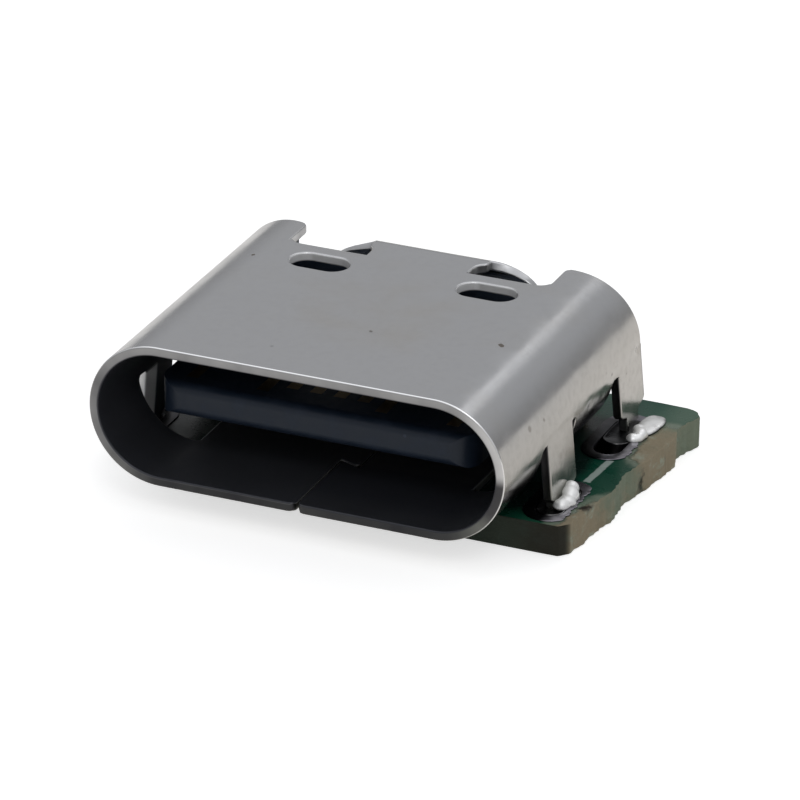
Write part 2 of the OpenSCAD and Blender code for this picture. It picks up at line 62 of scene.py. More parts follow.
class Graph:
    """Short ways to place nodes in one tree and to join their sockets."""

    def __init__(self, tree: bpy.types.NodeTree) -> None:
        """Keeps the tree."""
        self.tree = tree

    def feed(self, target: Socket, value: Value) -> None:
        """Links a socket to an input, or sets the input's own value.

        Args:
            target: The input.
            value: A socket, a number, or a colour or vector.
        """
        if isinstance(value, bpy.types.NodeSocket):
            self.tree.links.new(value, target)
        elif isinstance(value, tuple) and len(value) == 3 and target.type == "RGBA":
            target.default_value = (*value, 1.0)
        else:
            target.default_value = value

    def add(self, kind: str, inputs: Optional[dict] = None, **settings: object) -> bpy.types.Node:
        """Places a node.

        Args:
            kind: The node's type, without the common prefix.
            inputs: Values for its inputs, by name or number.
            settings: Values for the node's own properties.

        Returns:
            The node.
        """
        node = self.tree.nodes.new("ShaderNode" + kind)
        for name, value in settings.items():
            setattr(node, name, value)
        for key, value in (inputs or {}).items():
            self.feed(node.inputs[key], value)
        return node

    def math(self, operation: str, *values: Value, clamp: bool = False) -> Socket:
        """Places a Math node.

        Args:
            operation: The Math node's operation.
            values: Its inputs in order.
            clamp: Whether the result is held between 0 and 1.

        Returns:
            The result.
        """
        node = self.add("Math", operation=operation, use_clamp=clamp)
        for target, value in zip(node.inputs, values):
            self.feed(target, value)
        return node.outputs[0]

    def chain(self, operation: str, values: Sequence[Value]) -> Value:
        """Joins many values by one operation, from the first to the last.

        Args:
            operation: The Math node's operation.
            values: What is joined.

        Returns:
            The result.
        """
        whole = values[0]
        for value in values[1:]:
            whole = self.math(operation, whole, value)
        return whole

    def times(self, *values: Value) -> Value:
        """Returns the product of its values."""
        return self.chain("MULTIPLY", values)

    def most(self, *values: Value) -> Value:
        """Returns the greatest of its values."""
        return self.chain("MAXIMUM", values)

    def plus(self, *values: Value) -> Value:
        """Returns the sum of its values."""
        return self.chain("ADD", values)

    def less(self, value: Value, taken: Value) -> Socket:
        """Returns a value less another."""
        return self.math("SUBTRACT", value, taken)

    def scaled(self, value: Value, factor: Value, plus: Value) -> Socket:
        """Returns a value times a factor, plus another value."""
        return self.math("MULTIPLY_ADD", value, factor, plus)

    def size(self, value: Value) -> Socket:
        """Returns a value without its sign."""
        return self.math("ABSOLUTE", value)

    def step(
        self, value: Value, low: Value, high: Value, top: Value = 1.0, bottom: Value = 0.0
    ) -> Socket:
        """Rises smoothly from one number to another as the value goes from low to high.

        Args:
            value: What is read.
            low: Where the rise starts.
            high: Where it ends.
            top: The result past the end.
            bottom: The result before the start.

        Returns:
            The result.
        """
        node = self.add("MapRange", interpolation_type="SMOOTHSTEP")
        for key, item in zip(range(5), (value, low, high, bottom, top)):
            self.feed(node.inputs[key], item)
        return node.outputs[0]

    def band(self, value: Value, start: float, full: float, fading: float, end: float) -> Value:
        """Rises from 0 to 1 between two numbers and falls back between two others.

        Args:
            value: What is read.
            start: Where the rise starts.
            full: Where it ends.
            fading: Where the fall starts.
            end: Where it ends.

        Returns:
            The result.
        """
        return self.times(self.step(value, start, full), self.step(value, end, fading))

    def blend(self, factor: Value, first: Value, second: Value) -> Socket:
        """Mixes two colours.

        Args:
            factor: 0 for the first, 1 for the second.
            first: A colour.
            second: A colour.

        Returns:
            The mixed colour.
        """
        node = self.add("Mix", data_type="RGBA")
        for key, item in ((0, factor), (6, first), (7, second)):
            self.feed(node.inputs[key], item)
        return node.outputs[2]

    def layers(self, base: Value, *coats: tuple[Value, Value]) -> Value:
        """Lays colours over a base in order.

        Args:
            base: The lowest colour.
            coats: How much of each further colour there is, and the colour.

        Returns:
            The mixed colour.
        """
        for share, colour in coats:
            base = self.blend(share, base, colour)
        return base

    def noise(self, vector: Socket, scale: Value, detail: float = 3, rough: float = 0.5) -> Socket:
        """Places a Noise Texture.

        Args:
            vector: Where it is read.
            scale: Its scale.
            detail: How many finer layers it has.
            rough: The weight of the finer layers.

        Returns:
            The noise, about 0.5 on average.
        """
        inputs = {"Vector": vector, "Scale": scale, "Detail": detail, "Roughness": rough}
        return self.add("TexNoise", inputs).outputs[0]

    def stretched(self, vector: Socket, scale: tuple) -> Socket:
        """Returns the vector with each axis multiplied by its own number."""
        return self.add("Mapping", {"Vector": vector, "Scale": scale}).outputs[0]

    def part(self, vector: Socket) -> bpy.types.NodeOutputs:
        """Returns a vector's x, y and z."""
        return self.add("SeparateXYZ", {0: vector}).outputs

    def attribute(self, name: str) -> Socket:
        """Returns a mesh attribute that holds a number."""
        return self.add("Attribute", attribute_name=name).outputs["Fac"]

    def group(self, tree: bpy.types.NodeTree, **inputs: Value) -> bpy.types.NodeOutputs:
        """Places a shared group.

        Args:
            tree: The group.
            inputs: Values for its named inputs.

        Returns:
            The group's outputs.
        """
        node = self.tree.nodes.new("ShaderNodeGroup")
        node.node_tree = tree
        for key, value in inputs.items():
            self.feed(node.inputs[key], value)
        return node.outputs

    def bump(self, height: Socket, strength: float, depth: float) -> Socket:
        """Bends the normal by a height.

        Args:
            height: The height.
            strength: How much of the effect is used.
            depth: How deep a height of 1 is, in metres.

        Returns:
            The normal.
        """
        inputs = {"Strength": strength, "Distance": depth, "Height": height}
        return self.add("Bump", inputs).outputs[0]


class Effects:
    """Effects that several finishes share, each built once as a node group."""

    def __init__(self) -> None:
        """Builds the three groups."""
        self.grain = self._grain()
        self.specks = self._specks()
        self.scuffs = self._scuffs()

    @staticmethod
    def _open(name: str, inputs: dict, outputs: Sequence[str]) -> tuple:
        """Starts a group with its named sockets.

        Args:
            name: The group's name.
            inputs: Each input's name and its first value, or None for a vector.
            outputs: The outputs' names.

        Returns:
            The tree, its graph, the outputs of its input node and the inputs of its output node.
        """
        tree = bpy.data.node_groups.new(name, "ShaderNodeTree")
        for key, value in inputs.items():
            kind = "NodeSocketVector" if value is None else "NodeSocketFloat"
            made = tree.interface.new_socket(key, in_out="INPUT", socket_type=kind)
            if value is not None:
                made.default_value = value
        for key in outputs:
            tree.interface.new_socket(key, in_out="OUTPUT", socket_type="NodeSocketFloat")
        enter = tree.nodes.new("NodeGroupInput")
        leave = tree.nodes.new("NodeGroupOutput")
        return tree, Graph(tree), enter.outputs, leave.inputs

    def _grain(self) -> bpy.types.NodeTree:
        """Fine surface grain: a broad and a fine noise, added.

        Returns:
            A group whose outputs are a broad tone and a fine height.
        """
        inputs = {"Vector": None, "Scale": 1000.0}
        tree, graph, enter, leave = self._open("FineGrain", inputs, ("Tone", "Height"))
        broad = graph.noise(enter["Vector"], enter["Scale"], 4.0, 0.55)
        finer = graph.noise(enter["Vector"], graph.times(enter["Scale"], 7.0), 2.0)
        graph.feed(leave["Tone"], broad)
        graph.feed(leave["Height"], graph.scaled(finer, 0.4, broad))
        return tree

    def _specks(self) -> bpy.types.NodeTree:
        """Scattered dirt specks: the cores of random cells, cut down by a broad noise.

        Returns:
            A group whose output is 1 on a speck.
        """
        inputs = {"Vector": None, "Scale": 1500.0, "Size": 0.2, "Share": 0.5}
        tree, graph, enter, leave = self._open("Specks", inputs, ("Mask",))
        place, scale = enter["Vector"], enter["Scale"]
        cell = graph.add("TexVoronoi", {"Vector": place, "Scale": scale, "Randomness": 1.0}).outputs
        keep = graph.math("LESS_THAN", graph.part(cell["Color"])[0], enter["Share"])
        ragged = graph.noise(place, graph.times(scale, 4.0), 2.0)
        reach = graph.times(enter["Size"], graph.times(ragged, 2.0))
        core = graph.step(cell["Distance"], graph.times(reach, 1.2), reach)
        graph.feed(leave["Mask"], graph.times(core, keep))
        return tree

    def _scuffs(self) -> bpy.types.NodeTree:
        """Thin rubbing marks: noise stretched along one axis and cut to its crests.

        Returns:
            A group whose output is 1 along a mark.
        """
        inputs = {"Vector": None, "Scale": 300.0, "Level": 0.62}
        tree, graph, enter, leave = self._open("Scuffs", inputs, ("Mask",))
        long_way = graph.stretched(enter["Vector"], (9.0, 0.6, 5.0))
        lines = graph.noise(long_way, enter["Scale"], 3.0, 0.6)
        level = enter["Level"]
        graph.feed(leave["Mask"], graph.step(lines, level, graph.plus(level, 0.25)))
        return tree


class Finish(Enum):
    """The finishes of the part, by the record's material slot where it has one."""

    STEEL = "shell_steel"
    MOULDING = "black_moulding"
    PLATE = "plate_steel"
    GILT = "gilt_contact"
    LAMINATE = "board_laminate"
    TIN = "tinned_copper"
    SOLDER = "solder"


def new_material(name: str) -> tuple[bpy.types.Material, Graph, bpy.types.NodeInputs, Socket]:
    """Starts a material with one Principled BSDF.

    Args:
        name: The material's name.

    Returns:
        The material, its graph, the shader's inputs, and Object coordinates.
    """
    material = bpy.data.materials.new(name)
    material.use_nodes = True
    material.node_tree.nodes.clear()
    graph = Graph(material.node_tree)
    shader = graph.add("BsdfPrincipled")
    graph.feed(graph.add("OutputMaterial").inputs[0], shader.outputs[0])
    place = graph.add("TexCoord").outputs["Object"]
    return material, graph, shader.inputs, place


@dataclass(frozen=True)
class ShellSteel:
    """Bright stamped steel with faint rolling marks, stains and dirt specks, with painted shade
    inside, below the tube and round the mouth, painted highlights on some cut faces and along the
    mouth's edge, and painted reflections on the right wall and the legs' feet.

    Its masks read the blank: q round the section from the roof's middle and v
    along the shell from the mouth, in millimetres. A span is where a mask
    starts and where it is full.
    """

    colour: Colour = (0.438, 0.441, 0.448)
    # warm is a random tone, and on the right wall part of a painted reflection
    warm: Colour = (0.420, 0.402, 0.372)
    cut: Colour = (0.62, 0.62, 0.62)
    # painted shade on the inner face and the flap's inner face
    inner: Colour = (0.028, 0.030, 0.038)
    dirt: Colour = (0.09, 0.07, 0.05)
    # painted reflection that lightens the right wall towards the rear
    wear_and_painted_reflection: Colour = (0.54, 0.52, 0.49)
    # painted shade below the tube, round the mouth, on the right cut faces and at the arcs' rear
    # ends
    painted_shade: Colour = (0.035, 0.035, 0.04)
    # painted shade on the floor's cut faces
    dark: Colour = (0.008, 0.008, 0.010)
    # painted highlight on cut faces, the left legs' inner faces and the mouth's edge
    bright: Colour = (0.95, 0.95, 0.95)
    # painted reflection of the board on the legs' feet
    painted_board_reflection: Colour = (0.29, 0.305, 0.27)
    spots: tuple[tuple[float, float, float, float], ...] = (
        (0.56, 2.38, 0.05, 0.75), (-0.90, 0.98, 0.06, 0.30), (5.27, 4.32, 0.07, 0.45),
        (5.30, 3.80, 0.09, 0.40), (5.38, 6.15, 0.05, 0.55), (5.50, 3.45, 0.07, 0.30),
        (5.66, 2.70, 0.10, 0.25), (5.78, 4.95, 0.12, 0.50), (4.95, 5.15, 0.05, 0.25),
        (4.66, 2.08, 0.06, 0.50), (4.58, 1.44, 0.09, 0.45), (5.10, 5.43, 0.045, 0.60),
    )
    smooth: float = 0.16
    dull: float = 0.24
    right_wall: Span = (3.9, 5.0)
    right_slits: Span = (4.9, 5.2)
    left_walls: tuple[float, float, float, float] = (-7.4, -7.2, -5.0, -4.8)
    floor: Span = (7.1, 7.4)
    flap_v: Span = (6.0, 6.3)
    flap_q: Span = (2.8, 2.6)
    window_v: tuple[float, float, float, float] = (4.4, 4.6, 5.4, 5.5)
    window_q: Span = (-1.72, 1.88)
    mouth: Span = (0.14, 0.06)
    lip_low: Span = (5.6, 7.6)
    lip_left: Span = (-3.4, -4.6)
    lip_right: tuple[float, float, float, float] = (3.2, 4.2, 6.2, 7.2)
    corner_v: Span = (6.91, 6.97)
    corner_q: Span = (3.0, 3.6)
    feet: Span = (6.05, 6.6)

    def painted_highlight(self, graph: Graph, q: Socket, v: Socket) -> Value:
        """Masks the painted highlights: at the windows' left ends and rear rims, and the left
        slits.

        Args:
            graph: The material's graph.
            q: Places round the section.
            v: Places along the shell.

        Returns:
            The mask.
        """
        left, right = self.window_q
        middle = graph.scaled(graph.math("GREATER_THAN", q, 0.0), right - left, left)
        end = graph.step(graph.less(q, middle), -0.1, -0.4)
        end = graph.most(end, graph.step(v, 5.1, 5.3, 0.7))
        slits = graph.times(graph.band(q, *self.left_walls), graph.step(v, 0.3, 0.5))
        return graph.most(graph.times(end, graph.band(v, *self.window_v)), slits)

    def shorn(self, graph: Graph, q: Socket, v: Socket, painted_highlight: Value) -> Value:
        """Colours the cut faces: painted highlights in the roof and the left wall, painted shade in
        the floor and the right.

        Args:
            graph: The material's graph.
            q: Places round the section.
            v: Places along the shell.
            painted_highlight: Mask of the painted highlights.

        Returns:
            The colour.
        """
        flap = graph.times(graph.step(v, *self.flap_v), graph.step(q, *self.flap_q))
        return graph.layers(
            self.cut,
            # painted highlights on the window ends and the left slits
            (painted_highlight, self.bright),
            (flap, self.colour),
            # painted shade on the floor's cut faces, then on the right wall's lower ones
            (graph.step(graph.size(q), *self.floor), self.dark),
            (graph.step(q, *self.right_slits), self.painted_shade),
        )

    def lip(self, graph: Graph, blank: Socket, rim: Socket, rolled: Socket) -> tuple[Value, Value]:
        """Masks the mouth's rim: its painted shade, and the painted highlight along its outer edge.

        The painted shade is deepest low down, less on the left and least on the right.
        The highlight runs along the top, and in short glints along the bottom.

        Args:
            graph: The material's graph.
            blank: Places in the blank.
            rim: The share of the rim.
            rolled: Noise along the rolling direction.

        Returns:
            The painted shade's mask and the highlight's.
        """
        q, v, _ = graph.part(blank)
        near = graph.step(v, *self.mouth)
        low = graph.step(graph.size(q), *self.lip_low)
        left = graph.step(q, *self.lip_left)
        depth = graph.plus(graph.most(graph.times(low, 0.4), graph.times(left, 0.2)), 0.48)
        depth = graph.scaled(graph.band(q, *self.lip_right), -0.45, depth)
        depth = graph.scaled(graph.less(rolled, 0.5), 0.5, depth)
        edge = graph.times(near, graph.step(rim, 0.3, 0.9))
        painted_shade = graph.math("MULTIPLY", edge, depth, clamp=True)
        painted_glints = graph.noise(graph.stretched(blank, (1.0, 0.0, 0.0)), 2.2, 4.0, 0.6)
        painted_glints = graph.times(graph.step(painted_glints, 0.55, 0.63), low)
        outer = graph.step(graph.attribute("level"), 0.7, 0.95)
        shown = graph.most(graph.less(1.0, low), painted_glints)
        return painted_shade, graph.times(outer, graph.step(rim, 0.25, 0.5), near, shown, 0.8)

    def marks(self, graph: Graph, q: Socket, v: Socket, ragged: Socket) -> Value:
        """Masks the single dirt marks, each a soft ragged disc on the sheet.

        Args:
            graph: The material's graph.
            q: Places round the section.
            v: Places along the shell.
            ragged: Noise for their edges.

        Returns:
            The mask.
        """
        whole: Value = 0.0
        wander = graph.scaled(ragged, 0.12, -0.06)
        for at_q, at_v, size, share in self.spots:
            squares = (
                graph.math("POWER", graph.size(graph.less(place, at)), 2.0)
                for place, at in ((q, at_q), (v, at_v))
            )
            reach = graph.plus(graph.math("SQRT", graph.plus(*squares)), wander)
            whole = graph.most(whole, graph.step(reach, size, size * 0.3, share))
        return whole

    def build(self, effects: Effects) -> bpy.types.Material:
        """Makes the material.

        Args:
            effects: The shared node groups.

        Returns:
            The material.
        """
        material, graph, shader, place = new_material(Finish.STEEL.value)
        blank = graph.add("Attribute", attribute_name="blank").outputs["Vector"]
        q, v, _ = graph.part(blank)
        rim, within = graph.attribute("rim"), graph.attribute("inside")
        grain = graph.group(effects.grain, Vector=place, Scale=900.0)
        scuffs = graph.group(effects.scuffs, Vector=place, Scale=260.0, Level=0.6)["Mask"]
        specks = graph.group(effects.specks, Vector=place, Scale=1300.0, Size=0.085, Share=0.06)
        specks = specks["Mask"]
        cloud = graph.noise(place, 330.0, 4.0, 0.6)
        rolled = graph.noise(graph.stretched(blank, (0.35, 5.0, 1.0)), 3.0, 3.0)
        fine = graph.noise(place, 7000.0, 3.0, 0.6)
        around = graph.size(q)
        far = graph.step(q, *self.right_wall)
        cut = graph.step(rim, 0.55, 0.95)
        painted_highlight = self.painted_highlight(graph, q, v)
        backs = graph.step(graph.attribute("level"), -0.5, -0.7)
        backs = graph.times(backs, graph.step(q, -5.0, -5.2), graph.less(1.0, within))
        foot = graph.scaled(graph.noise(place, 2500.0), 0.5, around)
        painted_shade, line = self.lip(graph, blank, rim, rolled)
        corner = graph.times(graph.step(v, *self.corner_v, 0.6), graph.step(around, *self.corner_q))
        body = graph.layers(
            self.colour,
            (graph.times(graph.step(cloud, 0.5, 0.8), 0.6), self.warm),
            # painted reflection: the right wall warmer, and lighter towards the rear
            (graph.times(far, 0.75), self.warm),
            (graph.times(far, graph.step(v, 1.5, 7.0, 0.6)), self.wear_and_painted_reflection),
            (graph.times(graph.step(fine, 0.42, 0.7), graph.scaled(far, 0.10, 0.03)), self.dirt),
            # cut faces, with their painted highlights and painted shade
            (graph.times(cut, 0.9), self.shorn(graph, q, v, painted_highlight)),
            # painted reflection of the board on the legs' feet
            (graph.step(foot, *self.feet, 0.5), self.painted_board_reflection),
            # painted shade below the tube
            (graph.attribute("under"), self.painted_shade),
            # painted highlight on the left legs' inner faces
            (backs, self.bright),
            # painted shade round the mouth's rim
            (painted_shade, self.painted_shade),
            # painted highlight along the mouth's outer edge
            (line, self.bright),
            (self.marks(graph, q, v, fine), self.dirt),
            # painted shade on the inner face, and deeper on the flap's inner face
            (graph.times(within, 0.97), self.inner),
            (graph.attribute("eye"), self.inner),
            # painted shade at the rear end of each arc
            (corner, self.painted_shade),
            (graph.times(specks, 0.85), self.dirt),
        )
        graph.feed(shader["Base Color"], body)
        plain = graph.scaled(within, 0.6, graph.times(specks, 0.3))
        painted_highlight = graph.most(graph.times(cut, painted_highlight), backs)
        plain = graph.math("MULTIPLY_ADD", painted_highlight, 0.7, plain, clamp=True)
        graph.feed(shader["Metallic"], graph.less(1.0, plain))
        rough = graph.step(grain["Tone"], 0.35, 0.65, self.dull, self.smooth)
        rough = graph.scaled(scuffs, 0.05, rough)
        rough = graph.scaled(graph.most(cut, within), 0.2, rough)
        graph.feed(shader["Roughness"], graph.scaled(specks, 0.4, rough))
        height = graph.scaled(rolled, 0.25, graph.times(grain["Height"], 0.4))
        height = graph.scaled(cloud, 1.2, height)
        height = graph.scaled(graph.times(fine, far), 0.5, height)
        graph.feed(shader["Normal"], graph.bump(height, 0.10, 0.00002))
        return material


@dataclass(frozen=True)
class Moulding:
    """Black glass-filled plastic with a fine satin grain and pale dust."""

    colour: Colour = (0.010, 0.017, 0.030)
    dust: Colour = (0.020, 0.030, 0.050)
    rough: float = 0.36

    def build(self, effects: Effects) -> bpy.types.Material:
        """Makes the material.

        Args:
            effects: The shared node groups.

        Returns:
            The material.
        """
        material, graph, shader, place = new_material(Finish.MOULDING.value)
        grain = graph.group(effects.grain, Vector=place, Scale=2600.0)
        specks = graph.group(effects.specks, Vector=place, Scale=2600.0, Size=0.09, Share=0.16)
        haze = graph.step(grain["Tone"], 0.45, 0.75, 0.5)
        body = graph.blend(graph.most(haze, specks["Mask"]), self.colour, self.dust)
        graph.feed(shader["Base Color"], body)
        shader["Specular IOR Level"].default_value = 0.3
        rough = graph.step(grain["Tone"], 0.3, 0.7, self.rough + 0.14, self.rough)
        graph.feed(shader["Roughness"], rough)
        graph.feed(shader["Normal"], graph.bump(grain["Height"], 0.25, 0.000012))
        return material


@dataclass(frozen=True)
class Metal:
    """A plain or plated metal with grain, tarnish and rubbing marks.

    One with painted shade has a level in millimetres, with painted shade below
    that level, and painted shadow beside the shell in front of the rear pads.
    """

    name: str
    colour: Colour
    tarnish: Colour
    rough: float
    spread: float
    scale: float = 1600.0
    relief: float = 0.2
    metallic: float = 1.0
    # painted shade below a level: in the slots and at the solder's foot
    shade_below: Optional[tuple[float, Colour]] = None
    # painted shadow beside the shell, in front of the rear pads
    painted_shade: Colour = (0.006, 0.006, 0.008)
    painted_shade_x: Span = (4.62, 4.48)
    painted_shade_y: Span = (6.6, 6.3)

    def painted_shade_below(self, graph: Graph, place: Socket, body: Socket) -> tuple[Socket, Value]:
        """Paints shade into the colour: below the level, and beside the shell.

        Args:
            graph: The material's graph.
            place: Object coordinates.
            body: The colour without the painted shade.

        Returns:
            The colour with painted shade, and a mask of the painted shade.
        """
        level, painted_shade_below = self.shade_below
        x, y, z = graph.part(place)
        span = metres(level + 0.05, level)
        ragged = graph.scaled(graph.noise(place, 4000.0), 0.06 * MM, z)
        out = graph.scaled(graph.noise(place, 2500.0), 0.2 * MM, graph.size(x))
        near = graph.step(y, *metres(*self.painted_shade_y))
        near = graph.times(near, graph.step(out, *metres(*self.painted_shade_x), 0.96))
        body = graph.layers(body, (graph.step(ragged, *span, 0.95), painted_shade_below), (near, self.painted_shade))
        return body, graph.most(near, graph.step(ragged, *span))

    def build(self, effects: Effects) -> bpy.types.Material:
        """Makes the material.

        Args:
            effects: The shared node groups.

        Returns:
            The material.
        """
        material, graph, shader, place = new_material(self.name)
        grain = graph.group(effects.grain, Vector=place, Scale=self.scale)
        scuffs = graph.group(effects.scuffs, Vector=place, Scale=700.0, Level=0.6)["Mask"]
        stain = graph.step(graph.noise(place, self.scale * 0.35, 4.0, 0.6), 0.5, 0.72, 0.8)
        body = graph.blend(stain, self.colour, self.tarnish)
        if self.shade_below:
            body, painted_shade_below = self.painted_shade_below(graph, place, body)
            graph.feed(shader["Metallic"], graph.most(painted_shade_below, self.metallic))
        else:
            shader["Metallic"].default_value = self.metallic
        graph.feed(shader["Base Color"], body)
        rough = graph.step(grain["Tone"], 0.3, 0.7, self.rough + self.spread, self.rough)
        graph.feed(shader["Roughness"], graph.scaled(scuffs, 0.1, rough))
        graph.feed(shader["Normal"], graph.bump(grain["Height"], self.relief, 0.00002))
        return material


@dataclass(frozen=True)
class Laminate:
    """Green solder mask over tan glass laminate, bare where the mask has chipped off.

    Places and spans are in millimetres, from the part's own origin.
    """

    mask: Colour = (0.001, 0.052, 0.029)
    mask_pale: Colour = (0.060, 0.175, 0.105)
    thin: Colour = (0.088, 0.152, 0.104)
    shade: Colour = (0.003, 0.010, 0.008)
    tan: Colour = (0.300, 0.255, 0.175)
    chalky: Colour = (0.18, 0.225, 0.165)
    pale: Colour = (0.36, 0.385, 0.30)
    dark: Colour = (0.020, 0.014, 0.010)
    deep: Colour = (0.012, 0.03, 0.024)
    ink: Colour = (0.42, 0.50, 0.46)
    strip_x: float = 4.62
    strip_y: Span = (3.54, 4.07)
    thin_x: Span = (4.6, 5.3)
    thin_y: Span = (6.2, 6.9)
    shade_x: Span = (4.68, 4.4)
    shade_y: tuple[float, float, float, float] = (1.6, 2.1, 6.2, 6.6)
    chalk_y: float = 3.9
    chalk_reach: Span = (1.4, 0.2)
    chalk_rear: Span = (5.8, 6.9)
    front_y: Span = (1.75, 1.6)
    burnt_x: Span = (3.5, 4.7)

    def strip(self, graph: Graph, place: Socket) -> Value:
        """Masks a printed strip: a narrow band that drifts outwards towards the rear.

        Args:
            graph: The material's graph.
            place: Object coordinates.

        Returns:
            1 on the strip.
        """
        x, y, _ = graph.part(place)
        start, centre = metres(*self.strip_y)
        ragged = graph.scaled(graph.noise(place, 6000.0), 0.06 * MM, -0.03 * MM)
        middle = graph.scaled(graph.less(y, start), 0.07, self.strip_x * MM)
        across, along = graph.size(graph.less(x, middle)), graph.size(graph.less(y, centre))
        return graph.times(
            graph.step(graph.plus(across, ragged), *metres(0.09, 0.06)),
            graph.step(graph.plus(along, ragged), *metres(0.56, 0.52)),
        )

    def build(self, effects: Effects) -> bpy.types.Material:
        """Makes the material.

        Args:
            effects: The shared node groups.

        Returns:
            The material.
        """
        material, graph, shader, place = new_material(Finish.LAMINATE.value)
        x, y, _ = graph.part(place)
        side = graph.step(graph.attribute("rim"), 0.35, 0.75)
        ragged = graph.noise(place, 2400.0, 4.0, 0.55)
        torn = graph.scaled(graph.less(ragged, 0.5), 0.5, graph.attribute("bare"))
        weave = graph.noise(graph.stretched(place, (1.0, 1.0, 4.0)), 1500.0, 5.0, 0.7)
        far = graph.size(graph.less(y, self.chalk_y * MM))
        far = graph.step(far, *metres(*self.chalk_reach))
        far = graph.most(far, graph.step(y, *metres(*self.chalk_rear)))
        patch = graph.scaled(graph.noise(place, 1300.0, 5.0, 0.7), 2.4, graph.less(far, 1.65))
        front = graph.times(graph.step(y, *metres(*self.front_y)), side)
        fibre = graph.layers(
            self.tan,
            (graph.step(weave, 0.38, 0.66), self.pale),
            (graph.step(graph.noise(place, 1100.0, 4.0), 0.52, 0.66), self.dark),
            (graph.step(ragged, 0.62, 0.5), self.tan),
            (graph.step(patch, -0.4, 0.6, 0.85), self.chalky),
            (graph.times(front, 0.9), self.deep),
            (graph.times(front, graph.step(x, *metres(*self.burnt_x)), 0.7), self.dark),
        )
        thin = graph.step(x, *metres(*self.thin_x))
        thin = graph.times(thin, graph.step(y, *metres(*self.thin_y)))
        aside = graph.scaled(graph.noise(place, 1500.0), 0.3 * MM, graph.size(x))
        under = graph.step(aside, *metres(*self.shade_x))
        under = graph.times(under, graph.band(y, *metres(*self.shade_y)))
        chalk = graph.step(graph.size(graph.plus(torn, 0.06)), 0.24, 0.02)
        coat = graph.layers(
            self.mask,
            (graph.step(graph.noise(place, 420.0, 3.0), 0.35, 0.75, 0.25), self.mask_pale),
            (graph.times(thin, 0.75), self.thin),
            (graph.times(under, 0.93), self.shade),
            (graph.times(chalk, 0.45), self.pale),
            (graph.times(self.strip(graph, place), 0.85), self.ink),
        )
        bare = graph.most(graph.step(torn, -0.05, 0.07), side)
        graph.feed(shader["Base Color"], graph.blend(bare, coat, fibre))
        shader["Specular IOR Level"].default_value = 0.16
        grain = graph.group(effects.grain, Vector=place, Scale=1800.0)
        gloss = graph.step(grain["Tone"], 0.3, 0.7, 0.36, 0.22)
        graph.feed(shader["Roughness"], graph.scaled(bare, 0.45, gloss))
        depth = graph.times(bare, graph.scaled(weave, 3.0, graph.times(ragged, 4.0)))
        height = graph.plus(depth, graph.times(grain["Height"], 0.25))
        height = graph.less(height, graph.times(bare, 2.0))
        graph.feed(shader["Normal"], graph.bump(height, 0.6, 0.00003))
        return material


def build_finishes() -> dict[Finish, bpy.types.Material]:
    """Builds every finish once.

    Returns:
        The material of each finish.
    """
    effects = Effects()
    metals = {
        Finish.PLATE: Metal("plate_steel", (0.40, 0.40, 0.41), (0.20, 0.19, 0.18), 0.28, 0.14),
        Finish.GILT: Metal("gilt_contact", (0.30, 0.21, 0.10), (0.10, 0.075, 0.045), 0.28, 0.2),
        Finish.TIN: Metal(
            "tinned_copper", (0.34, 0.33, 0.36), (0.07, 0.06, 0.08), 0.22, 0.2, 900.0, 0.3,
            # painted shade on the slot lining below the pads' top
            shade_below=(-1.452, (0.05, 0.045, 0.06)),
        ),
        # near-white and half diffuse: a painted highlight that whitens the solder
        Finish.SOLDER: Metal(
            "solder", (0.95, 0.95, 0.94), (0.42, 0.42, 0.41), 0.26, 0.2, 2600.0, 0.6,
            # painted shade below -1.435 mm, in the slots and at the lumps' foot
            metallic=0.5, shade_below=(-1.435, (0.006, 0.006, 0.008)),
        ),
    }
    made = {key: metal.build(effects) for key, metal in metals.items()}
    made[Finish.STEEL] = ShellSteel().build(effects)
    made[Finish.MOULDING] = Moulding().build(effects)
    made[Finish.LAMINATE] = Laminate().build(effects)
    return made


# ---------- surfaces ----------


